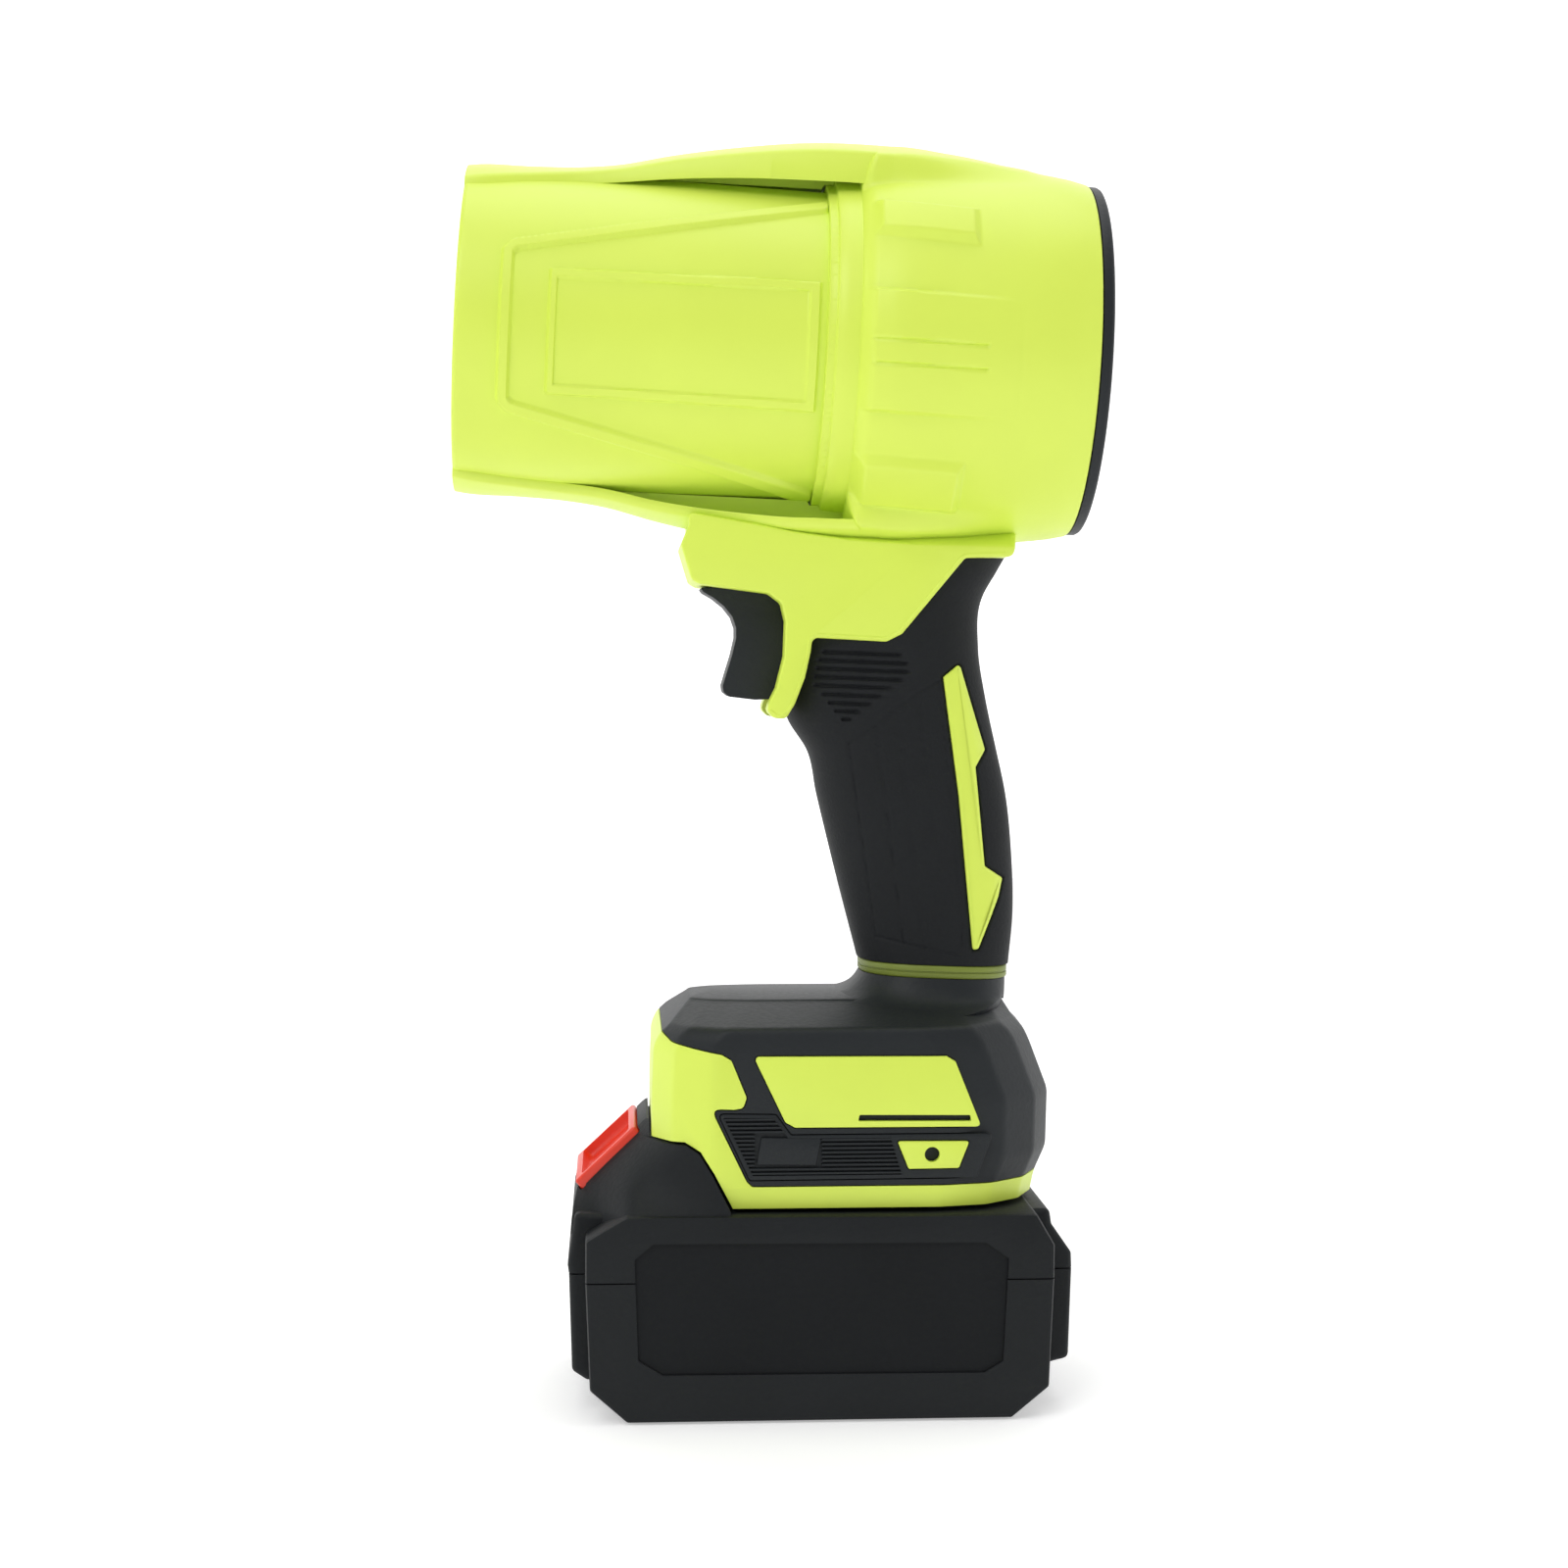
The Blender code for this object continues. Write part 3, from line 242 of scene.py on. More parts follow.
def anticlockwise(outline):
    """The outline, turned round if it runs clockwise."""
    return list(outline) if area(outline) > 0 else list(reversed(outline))


def evaluated(made):
    """Bakes the modifiers of a work piece into its mesh."""
    graph = bpy.context.evaluated_depsgraph_get()
    mesh = bpy.data.meshes.new_from_object(made.evaluated_get(graph))
    made.modifiers.clear()
    made.data = mesh
    return made


def bevel(made, width, segments=3, angle=30):
    """Rounds or cuts the edges that are sharper than an angle."""
    step = made.modifiers.new("edge", "BEVEL")
    step.width = width * MM
    step.segments = segments
    step.limit_method = "ANGLE"
    step.angle_limit = math.radians(angle)
    step.harden_normals = False
    return evaluated(made)


def combine(target, other, operation):
    """A boolean on target. The second solver is tried when the first leaves nothing."""
    for solver in ("EXACT", "MANIFOLD"):
        step = target.modifiers.new("step", "BOOLEAN")
        step.operation = operation
        step.object = other
        step.solver = solver
        graph = bpy.context.evaluated_depsgraph_get()
        mesh = bpy.data.meshes.new_from_object(target.evaluated_get(graph))
        target.modifiers.clear()
        if len(mesh.polygons):
            break
    target.data = mesh
    bpy.data.objects.remove(other)
    return target


def cut(target, *others):
    """Takes other bodies away from target."""
    for other in others:
        combine(target, other, "DIFFERENCE")
    return target


def merged(name, *pieces):
    """Several meshes as one object, without a boolean."""
    work = bmesh.new()
    for piece in pieces:
        work.from_mesh(piece.data)
    mesh = bpy.data.meshes.new(name)
    work.to_mesh(mesh)
    work.free()
    for piece in pieces:
        bpy.data.objects.remove(piece)
    made = bpy.data.objects.new(name, mesh)
    bpy.context.scene.collection.objects.link(made)
    return made


def copy_of(source, name):
    """A copy with a mesh of its own."""
    made = source.copy()
    made.data = source.data.copy()
    made.name = name
    bpy.context.scene.collection.objects.link(made)
    return made


def mirrored(source, name):
    """A copy on the other side of the mid-plane."""
    made = copy_of(source, name)
    made.data.transform(Matrix.Scale(-1, 4, (0, 1, 0)))
    made.data.flip_normals()
    return made


def head_hole(x, z, head, out=30):
    """The hole that a screw's head sits in, open on the +y side."""
    return rod("hole", (x, head - HEAD_HOLE_DEPTH, z), (x, out, z), HEAD_HOLE_R)


def finish_piece(made, body, slot, nodes=(), sharp=38, look=None):
    """Material, shading, and the body that a piece rides on."""
    made.data.materials.clear()
    made.data.materials.append(LOOKS[look or slot])
    for face in made.data.polygons:
        face.material_index = 0
    made.data.shade_smooth()
    made.data.set_sharp_from_angle(angle=math.radians(sharp))
    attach(made, body)
    if nodes:
        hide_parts(*nodes)
    return made


def smooth_step(t):
    """Eases from 0 to 1."""
    t = np.clip(t, 0, 1)
    return t * t * (3 - 2 * t)


def inside(x, z, outline):
    """Distance inside a convex outline, negative outside."""
    best = np.full(np.shape(x), 1e9)
    outline = anticlockwise(outline)
    for (ax, az), (bx, bz) in zip(outline, outline[1:] + outline[:1]):
        length = math.hypot(bx - ax, bz - az)
        best = np.minimum(best, ((bx - ax) * (z - az) - (bz - az) * (x - ax)) / length)
    return best


def inside_any(x, z, outline):
    """Distance inside a general outline, negative outside."""
    sign = np.zeros(np.shape(x), dtype=bool)
    best = np.full(np.shape(x), 1e9)
    for (ax, az), (bx, bz) in zip(outline, outline[1:] + outline[:1]):
        best = np.minimum(best, from_segment(x, z, (ax, az), (bx, bz)))
        if az != bz:
            crosses = ((az > z) != (bz > z)) & (x < (bx - ax) * (z - az) / (bz - az) + ax)
            sign ^= crosses
    return np.where(sign, best, -best)


def from_segment(x, z, a, b):
    """Distance from a line segment."""
    dx, dz = b[0] - a[0], b[1] - a[1]
    t = np.clip(((x - a[0]) * dx + (z - a[1]) * dz) / (dx * dx + dz * dz), 0, 1)
    return np.hypot(x - a[0] - t * dx, z - a[1] - t * dz)


def raised(x, z, outline, height, slope):
    """A raised field inside a convex outline, with a sloping edge."""
    return height * np.clip(inside(x, z, outline) / slope, 0, 1)


def rib(x, z, path, width, height, slope):
    """A rib, or with a negative height a groove, along a run of points."""
    near = np.full(np.shape(x), 1e9)
    for a, b in zip(path, path[1:]):
        near = np.minimum(near, from_segment(x, z, a, b))
    return height * np.clip((width / 2 - near) / slope, 0, 1)


def curve_through(stations, count):
    """Smooth values through table rows; the first column is the position."""
    table = np.array(stations, dtype=float)
    t = table[:, 0]
    places = np.linspace(t[0], t[-1], count)
    slopes = np.gradient(table, t, axis=0)
    rows = []
    for p in places:
        i = min(len(t) - 2, max(0, int(np.searchsorted(t, p)) - 1))
        h = t[i + 1] - t[i]
        s = (p - t[i]) / h
        a = 2 * s ** 3 - 3 * s ** 2 + 1
        b = s ** 3 - 2 * s ** 2 + s
        c = -2 * s ** 3 + 3 * s ** 2
        d = s ** 3 - s ** 2
        rows.append(a * table[i] + b * h * slopes[i] + c * table[i + 1] + d * h * slopes[i + 1])
    return rows


def round_grid(name, rings, count, relief=None):
    """A body of revolution round the barrel's axis. Each ring is (u, radius, relief weight)."""
    angles = np.linspace(0, 2 * math.pi, count, endpoint=False)
    points = []
    for u, radius, weight in rings:
        v = radius * np.sin(angles)
        r = np.full(count, float(radius))
        if relief is not None and weight:
            r = r + weight * relief(np.full(count, float(u)), v, angles)
        x, y, z = barrel(u, -r * np.cos(angles), r * np.sin(angles))
        points.append(np.stack([x, y, z], axis=1))
    points = np.concatenate(points)
    faces = []
    rows = len(rings)
    for i in range(rows):
        j = (i + 1) % rows
        for k in range(count):
            n = (k + 1) % count
            faces.append((i * count + k, i * count + n, j * count + n, j * count + k))
    return raw_object(name, points, faces)


def span(a, b, step):
    """Evenly spaced values from a to b, about one step apart."""
    return list(np.linspace(a, b, max(2, int(round(abs(b - a) / step)) + 1)))


# ---------------------------------------------------------------- air tube

LABEL_OUTER = [(-54.6, 10.6), (6.0, 10.9), (6.0, -18.0), (-54.6, -17.1)]
LABEL_INNER = [(-52.9, 8.4), (3.6, 8.7), (3.6, -15.8), (-52.9, -15.0)]
TRAPEZOID = [(6.5, 29.3), (-62.5, 15.6), (-64.0, 14.0), (-64.0, -18.6), (-62.5, -20.0), (6.5, -35.4)]


def tube_relief(u, v, angle):
    """Height of the side ribs and the label field on the air tube."""
    height = rib(u, v, TRAPEZOID, 2.9, 1.1, 0.5)
    height = np.maximum(height, raised(u, v, LABEL_OUTER, 0.85, 0.45))
    height = height - raised(u, v, LABEL_INNER, 0.6, 0.25)
    return height * smooth_step(np.abs(np.cos(angle)) * 4)


rings = [(TIP_U + 0.6, TUBE_BORE_R, 0), (TIP_U, 35.1, 0), (TIP_U, 36.2, 0), (TIP_U + 0.25, 36.6, 0),
         (TIP_U + 0.8, TUBE_R, 0)]
for u in span(-74.0, 7.3, 0.35):
    rings.append((u, TUBE_R if u < -26 else TUBE_R - 0.7 * (u + 26) / 33.6, 1))
rings += [(7.6, 36.1, 0), (7.6, 37.5, 0), (7.8, 37.8, 0), (9.5, 37.8, 0), (9.7, 38.0, 0), (9.7, 38.6, 0),
          (9.95, 38.85, 0), (12.2, 39.05, 0), (15.5, 39.25, 0), (15.7, 37.6, 0), (22.0, 37.6, 0),
          (22.0, TUBE_BORE_R, 0)]
tube = round_grid("air_tube", rings, 720, tube_relief)
finish_piece(tube, "tool", "lime_plastic", ["nozzle_tube"], 45)


# ---------------------------------------------------------------- drum with the arches

ARCH = [  # u, outer radius, inner radius, half width
    (TIP_U, 37.9, 36.0, 20.0), (-73.4, 38.15, 36.0, 19.9), (-60.0, 38.4, 36.0, 17.0),
    (-50.0, 38.8, 36.2, 15.6),
    (-41.0, 39.8, 37.1, 15.8), (-28.0, 42.7, 38.9, 17.2), (-10.0, 45.8, 40.6, 19.2), (4.0, 47.4, 41.2, 20.2),
    (18.0, 47.7, 41.3, 20.6), (35.0, 46.7, 40.6, 20.2), (50.0, 44.5, 39.8, 18.0), (60.0, 43.0, 39.6, 15.0)]
ARCH_TABLE = np.array(curve_through(ARCH, 240))
LOWER_ARCH_U = [-75, -50, -30, -10, 8, 20]
LOWER_ARCH_SHARE = [0.72, 0.66, 0.74, 0.87, 0.98, 1.0]  # of the upper arch's half width
BLOCK_TOP = [(17.6, 31.0), (41.0, 29.6), (41.0, 20.4), (17.6, 21.8)]
BLOCK_LOW = [(16.0, -26.6), (40.2, -27.6), (40.2, -38.4), (16.0, -37.4)]
PANEL_SIDE = [(16.4, 9.6), (51.0, 8.6), (51.0, -18.8), (16.4, -17.6)]


def drum_relief(u, v, angle):
    """Height of the side blocks and fields, the two grooves and the crown that runs into the arches."""
    side = smooth_step(np.abs(np.cos(angle)) * 5)
    height = raised(u, v, BLOCK_TOP, 2.0, 1.6) + raised(u, v, BLOCK_LOW, 2.0, 1.6)
    fade = np.clip((52 - u) / 30, 0, 1)
    height = height + raised(u, v, PANEL_SIDE, 1.5, 0.8) * fade
    for level in (-1.8, -7.0):
        height = height + rib(u, v, [(18.5, level), (43.0, level - 0.6)], 0.9, -0.45, 0.25)
    height = height * side
    crown = np.interp(u, ARCH_TABLE[:, 0], ARCH_TABLE[:, 1])
    half = np.interp(u, ARCH_TABLE[:, 0], ARCH_TABLE[:, 3])
    base = np.interp(u, [15.0, 18.3, 22.0, 35.0, 48.0, 58.0, 64.0, DRUM_REAR_U],
                     [40.2, 41.6, 42.3, 43.0, 43.3, 43.0, 42.3, 41.3])
    y = np.abs(base * np.cos(angle))
    soft = 3.2 + 0.16 * np.clip(u - 15, 0, 60)
    lift = np.clip(crown - base, 0, 9) * smooth_step((half + soft * 0.4 - y) / soft)
    lift = lift * np.clip((62 - u) / 8, 0, 1)
    return np.maximum(height, lift)


DRUM_PROFILE = [(18.3, 41.6), (22.0, 42.3), (35.0, 43.0), (48.0, 43.3), (58.0, 43.0), (64.0, 42.3),
                (68.2, 41.35)]
profile = curve_through(DRUM_PROFILE, 145)
rings = [(22.4, 39.4, 0), (22.4, DRUM_BORE_R, 0), (DRUM_FRONT_U, DRUM_BORE_R, 0), (DRUM_FRONT_U, 39.2, 0),
         (15.2, 39.6, 0.3), (16.6, 40.7, 0.7), (17.4, 41.2, 0.9)]
rings += [(u, r, 1) for u, r in profile]
rings += [(68.55, 41.1, 0), (DRUM_REAR_U, 40.8, 0), (DRUM_REAR_U, 39.4, 0)]
drum = round_grid("drum", rings, 720, drum_relief)


def arch(upper):
    """One arch, as a band with rounded edges that follows the table of stations."""
    sign = 1 if upper else -1
    steps = 24
    rings = []
    wall = 5.5 if upper else 1.6
    for u, outer, inner, half in ARCH_TABLE[ARCH_TABLE[:, 0] < 26]:
        if not upper:
            inner = max(inner, outer - 2.0)
            half = half * np.interp(u, LOWER_ARCH_U, LOWER_ARCH_SHARE)
        ring = []
        edge = 1.0
        for k in range(steps + 1):
            y = (half - edge) * (2 * k / steps - 1)
            ring.append((y, math.sqrt(outer ** 2 - y ** 2)))
        side = [(half - 0.45, math.sqrt(outer ** 2 - (half - edge) ** 2) - 0.28),
                (half - 0.1, math.sqrt(outer ** 2 - half ** 2) - 0.55),
                (half + 0.12, math.sqrt(max(inner, outer - wall) ** 2 - half ** 2) + 0.1)]
        ring += side
        for k in range(steps, -1, -1):
            y = half * (2 * k / steps - 1)
            ring.append((y, math.sqrt(inner ** 2 - y ** 2)))
        ring += [(-y, v) for y, v in reversed(side)]
        rings.append([barrel(u, y, sign * v) for y, v in ring])
    return loft("arch", rings)


def web(upper):
    """Rib inside an arch, down the middle, between the tube and the arch."""
    sign = 1 if upper else -1
    rings = []
    for u, outer, _, _ in ARCH_TABLE[(ARCH_TABLE[:, 0] > -46) & (ARCH_TABLE[:, 0] < 20)]:
        low = (37.4 if u < 7.2 else 38.4) - 1.0  # a little into the tube, then into its collar
        high = outer - 1.5
        corners = [(-WEB_HALF, low), (WEB_HALF, low), (WEB_HALF, high), (-WEB_HALF, high)]
        rings.append([barrel(u, y, sign * v) for y, v in corners])
    return loft("web", rings)


TRIGGER_HOUSING = [
    (-22.8, 203.0), (-22.8, 199.8), (-24.6, 195.4), (-22.2, 187.5), (-20.4, 186.5), (-4.5, 184.4),
    (-1.6, 182.2), (-0.6, 178.0), (-0.9, 169.9), (-2.7, 162.7), (-4.5, 159.1), (-4.9, 157.4),
    (-3.3, 155.8), (-0.6, 155.6),
    (1.5, 159.1), (3.8, 165.1), (5.1, 171.0), (5.4, 173.4), (6.3, 174.2), (22.5, 173.3), (26.1, 175.1),
    (40.7, 192.6), (51.6, 192.9)]
SHOULDER = [(52.4, 195.2), (30.0, 195.6), (14.5, 196.6), (2.0, 198.3), (-8.0, 200.3)]
CORE = [(54.0, 200.0), (30.0, 199.8), (14.5, 199.6), (2.0, 200.2), (-8.0, 201.6)]


def housing_ring(y, top):
    """The outline of the trigger housing at one distance from the mid-plane, under a given top edge."""
    return [(x, y, z) for x, z in rounded(anticlockwise(TRIGGER_HOUSING + top), 1.8, 5)]


block = loft("block", [housing_ring(-HOUSING_HALF, SHOULDER), housing_ring(-HOUSING_CORE_HALF, CORE),
                       housing_ring(HOUSING_CORE_HALF, CORE), housing_ring(HOUSING_HALF, SHOULDER)])
bevel(block, 0.8, 3, 50)
slot = rounded(anticlockwise([(-30, 186.3), (-30, 150.0), (-4.0, 150.0), (3.6, 160.0), (27.0, 160.0),
                              (27.0, 189.4), (-17.4, 189.4), (-17.4, 186.3)]), 0.6, 3)
cut(block, prism("slot", slot, -9.0, 9.0))
for point in HOUSING_SCREWS:
    cut(block, head_hole(*point))
housing = merged("housing_shell", drum, arch(True), arch(False), web(True), web(False), block)
finish_piece(housing, "tool", "lime_plastic", ["housing_left", "housing_right"], 45)

# bead along the edge that meets the grip, on each side
BEAD = [(-4.3, 157.6), (-2.4, 156.2), (-1.0, 156.4), (0.9, 159.4), (3.1, 165.3), (4.4, 171.1), (4.7, 173.8),
        (6.2, 175.0), (22.3, 174.1), (25.6, 175.8), (40.2, 193.3), (49.8, 193.6)]
for side, name in ((-1, "left"), (1, "right")):
    path = bpy.data.curves.new("housing_bead_" + name, "CURVE")
    path.dimensions = "3D"
    path.bevel_depth = BEAD_R * MM
    path.bevel_resolution = 4
    path.use_fill_caps = True
    run = path.splines.new("POLY")
    soft = [BEAD[0]]
    for before, here, after in zip(BEAD, BEAD[1:], BEAD[2:]):
        before, here, after = Vector(before), Vector(here), Vector(after)
        a, b = before - here, after - here
        p, q = here + a * min(0.45, 1.1 / a.length), here + b * min(0.45, 1.1 / b.length)
        for t in (0, 0.25, 0.5, 0.75, 1):
            soft.append(tuple(p * (1 - t) ** 2 + here * 2 * t * (1 - t) + q * t * t))
    soft.append(BEAD[-1])
    run.points.add(len(soft) - 1)
    for point, (x, z) in zip(run.points, soft):
        point.co = (x * MM, side * BEAD_Y * MM, z * MM, 1)
    bead = bpy.data.objects.new("housing_bead_" + name, path)
    bpy.context.scene.collection.objects.link(bead)
    path.materials.append(LOOKS["lime_plastic"])
    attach(bead, "tool")


# ---------------------------------------------------------------- intake

rings = [(68.9, 36.0, 0), (68.9, 40.95, 0), (70.7, 40.9, 0), (71.2, 40.6, 0), (71.45, 40.1, 0),
         (71.5, 39.2, 0), (71.5, 37.2, 0), (71.35, 36.6, 0), (71.0, 36.15, 0), (70.4, 36.0, 0)]
finish_piece(round_grid("air_intake_ring", rings, 240), "tool", "black_plastic", ["intake_ring"], 50)


def hoop(inner, outer, front=66.5, rear=68.3):
    """One ring of the intake grille, with cut corners."""
    r = 0.35
    section = [(front, inner + r, 0), (front, outer - r, 0), (front + r, outer, 0), (rear - r, outer, 0),
               (rear, outer - r, 0), (rear, inner + r, 0), (rear - r, inner, 0), (front + r, inner, 0)]
    return round_grid("hoop", section, 120)


parts = [hoop(36.2, 39.1, 66.4, 68.4)]
parts += [hoop(r, r + 1.4) for r in (9.0, 13.2, 17.4, 21.6, 25.8, 30.0)]
parts.append(round_grid("button", [(66.5, 0.01, 0), (66.5, 5.2, 0), (68.0, 5.2, 0), (68.4, 4.6, 0),
                                   (68.6, 3.0, 0), (68.7, 0.01, 0)], 60))
for k in range(12):
    turn = Matrix.Rotation(math.pi * k / 6 + 0.26, 4, "X")
    spoke = bevel(box("spoke", (66.6, -0.8, 4.0), (68.2, 0.8, 37.0)), 0.3, 2)
    place = (Matrix.Translation((0, 0, AXIS_Z * MM)) @ Matrix.Rotation(TILT, 4, "Y")) @ turn
    spoke.data.transform(place)
    parts.append(spoke)
finish_piece(merged("air_intake_grille", *parts), "tool", "black_plastic", ["intake_grille"], 40)


# ---------------------------------------------------------------- grip

GRIP = [  # z, front, rear, half width
    (98.9, 17.2, 52.6, 17.0), (110.0, 14.4, 53.7, 17.0), (124.2, 10.9, 53.4, 17.0), (138.0, 7.6, 52.0, 17.2),
    (148.0, 5.4, 49.9, 17.4), (155.3, 0.9, 48.3, 17.6), (160.8, -0.5, 47.2, 17.8), (172.0, -1.0, 45.6, 18.1),
    (184.0, -1.0, 46.6, 18.2), (190.0, -1.0, 50.0, 18.3), (194.2, -1.0, 52.4, 18.3)]
ARROW = [(42.6, 102.3), (44.0, 102.5), (49.0, 114.3), (50.1, 118.6), (45.6, 121.5), (43.5, 144.4),
         (46.0, 148.4), (40.1, 167.4), (39.4, 168.0), (35.8, 165.2), (39.4, 137.6)]
SLOTS = [(8.4, 26.0, 170.6), (7.3, 27.1, 168.7), (6.9, 27.8, 166.8), (6.6, 26.4, 164.9), (6.6, 24.0, 163.0),
         (8.2, 21.5, 161.0), (9.8, 19.0, 159.1), (11.1, 16.3, 157.3), (12.7, 14.3, 155.5)]
GRIP_LINES = [
    [(14.1, 150.1), (20.6, 105.3)], [(20.3, 154.2), (26.6, 104.0)], [(24.9, 157.8), (31.6, 102.8)],
    [(30.0, 161.8), (36.2, 101.8)],
    [(14.1, 150.1), (20.3, 154.2), (24.9, 157.8), (30.0, 161.8), (34.6, 164.3)],
    [(20.6, 105.3), (39.8, 101.0)], [(34.6, 164.3), (37.6, 138.0), (40.2, 103.5)]]


def grip_relief(x, z):
    """Depth of the grip's surface: the arrow's pocket, the slots under the trigger and the fine lines."""
    depth = -0.7 * np.clip((inside_any(x, z, ARROW) + 0.55) / 0.3, 0, 1)
    for x0, x1, level in SLOTS:
        fall = 0.02 * (x1 - x0)
        depth = depth + rib(x, z, [(x0, level + fall), (x1, level - fall)], 1.05, -0.75, 0.3)
    for line in GRIP_LINES:
        depth = depth + rib(x, z, line, 0.75, -0.28, 0.3)
    return depth


def squircle(front, rear, half, count):
    """The points of a level, rounded section, and the turn at which each lies."""
    turn = np.linspace(0, 2 * math.pi, count, endpoint=False)
    c, s = np.cos(turn), np.sin(turn)
    x = (front + rear) / 2 + (rear - front) / 2 * np.sign(c) * np.abs(c) ** (2 / GRIP_POWER)
    y = half * np.sign(s) * np.abs(s) ** (2 / GRIP_POWER)
    return x, y, turn


def grip_y(x, z, proud=0.0):
    """The half width of the grip's surface at a place seen from the side."""
    table = np.array(GRIP)
    front = np.interp(z, table[:, 0], table[:, 1])
    rear = np.interp(z, table[:, 0], table[:, 2])
    half = np.interp(z, table[:, 0], table[:, 3])
    t = np.clip(np.abs((x - (front + rear) / 2) / ((rear - front) / 2)), 0, 0.999)
    return half * (1 - t ** GRIP_POWER) ** (1 / GRIP_POWER) + proud


rings = []
for z, front, rear, half in curve_through(GRIP, 300):
    x, y, turn = squircle(front, rear, half, 240)
    lean = GRIP_TILT * (x - 35) * np.clip((120 - z) / 20, 0, 1)
    level = z - lean
    push = grip_relief(x, level) * smooth_step(np.abs(np.sin(turn)) * 2.5)
    y = y + np.sign(y) * push
    rings.append(list(zip(x, y, level)))
grip = loft("grip_cover", rings)
for point in HOUSING_SCREWS[1:] + GRIP_SCREWS:
    cut(grip, head_hole(*point))
finish_piece(grip, "tool", "grip_rubber", ["grip_cover_left", "grip_cover_right"], 50)


def inlay(name, side):
    """The arrow, following the grip's surface, with a rounded edge."""
    base = rounded(anticlockwise(ARROW), 0.7, 3)
    dense = []
    for a, b in zip(base, base[1:] + base[:1]):
        parts = max(1, int(math.dist(a, b) / 1.2))
        dense += [(a[0] + (b[0] - a[0]) * k / parts, a[1] + (b[1] - a[1]) * k / parts) for k in range(parts)]
    levels = [(0.0, -1.2), (0.0, -0.1), (-0.12, 0.14), (-0.35, 0.3), (-0.7, 0.36)]
    rings = []
    for inset, proud in levels:
        ring = []
        for x, z in grown(dense, inset):
            ring.append((x, side * float(grip_y(x, z, proud)), z))
        rings.append(ring)
    return loft(name, rings)


for side, name in ((-1, "left"), (1, "right")):
    finish_piece(inlay("grip_arrow_" + name, side), "tool", "lime_plastic", ["grip_inlay_" + name], 50)

# ring at the foot of the grip: lime core in a recess, with its shade painted into the olive colour
rings = []
for level, draw in ((95.8, 0.5), (95.9, 0.2), (96.2, 0.0), (97.0, 0.0), (97.1, 0.3), (97.35, 0.3),
                    (97.45, 0.0), (98.4, 0.0), (98.7, 0.2), (98.8, 0.5)):
    x, y, _ = squircle(17.5 + draw, 52.2 - draw, 17.1 - draw, 160)
    rings.append(list(zip(x, y, level - GRIP_TILT * (x - 35))))
finish_piece(loft("grip_foot_ring", rings), "tool", "olive_lime_plastic", ["grip_ring"], 50)


# ---------------------------------------------------------------- trigger

TRIGGER = [(-17.0, 189.0), (-17.0, 186.0), (-20.0, 185.9), (-19.2, 184.9), (-16.9, 183.6), (-14.4, 181.6),
           (-12.5, 179.2), (-11.6, 176.6), (-11.6, 174.3), (-12.5, 170.4), (-13.8, 166.2), (-14.7, 163.2),
           (-14.5, 161.6), (-13.2, 160.6), (-7.3, 159.9), (6.0, 160.3), (6.0, 189.0)]
lever = bevel(prism("pull_trigger", rounded(anticlockwise(TRIGGER), 1.0, 4), -8.5, 8.5), 1.3, 4, 40)
cut(lever, box("hollow", (-7.0, -5.5, 164.0), (8.0, 5.5, 186.0)))
finish_piece(lever, "trigger", "black_plastic", ["trigger"], 45)


# ---------------------------------------------------------------- foot

FOOT_SECTIONS = [  # z, front x, rear x, half width
    (51.0, -31.2, 57.8, 34.2), (57.0, -31.4, 60.5, 34.5), (70.0, -31.4, 60.9, 34.5),
    (81.5, -31.0, 56.6, 34.4), (84.4, -29.7, 55.2, 34.1), (86.6, -27.3, 53.0, 33.6),
    (90.8, -22.7, 50.6, 16.4), (91.2, -22.3, 50.4, 15.9),
    (92.1, -18.5, 47.0, 8.0)]


def foot_ring(z, front, rear, half, inset=0.0):
    """A level section of the foot, with facets at its corners."""
    front, rear, half = front + inset, rear - inset, half - inset
    k = half / 34.5
    corner = [(front, 0.0), (front, half - 12 * k), (front + 4.5, half - 4.2 * k), (front + 13, half),
              (rear - 24, half), (rear - 13.0, half - 2.6 * k), (rear - 5.0, half - 10.0 * k),
              (rear - 0.6, half - 21 * k), (rear, 0.0)]
    outline = corner + [(x, -y) for x, y in corner[-2:0:-1]]
    outline = rounded(outline, [0, 3, 4, 5, 5, 5, 5, 6, 0, 6, 5, 5, 5, 5, 4, 3], 4)
    return [(x, y, z) for x, y in outline]


def foot_room(inset):
    """The hollow of the foot, as a body to cut with."""
    levels = [(40.0, -31.0, 55.0, 33.9)] + FOOT_SECTIONS[:4]
    return loft("room", [foot_ring(*level, inset=inset) for level in levels])


def softened(rings, reach):
    """Cuts the creases between sections, so that they catch the light."""
    made = [rings[0]]
    for before, here, after in zip(rings, rings[1:], rings[2:]):
        a, b, c = (np.array(r) for r in (before, here, after))
        back = np.linalg.norm(a - b, axis=1).mean()
        ahead = np.linalg.norm(c - b, axis=1).mean()
        p = b + (a - b) * min(0.45, reach / back)
        q = b + (c - b) * min(0.45, reach / ahead)
        for t in (0, 0.25, 0.5, 0.75, 1):
            made.append([tuple(r) for r in p * (1 - t) ** 2 + b * 2 * t * (1 - t) + q * t * t])
    made.append(rings[-1])
    return made


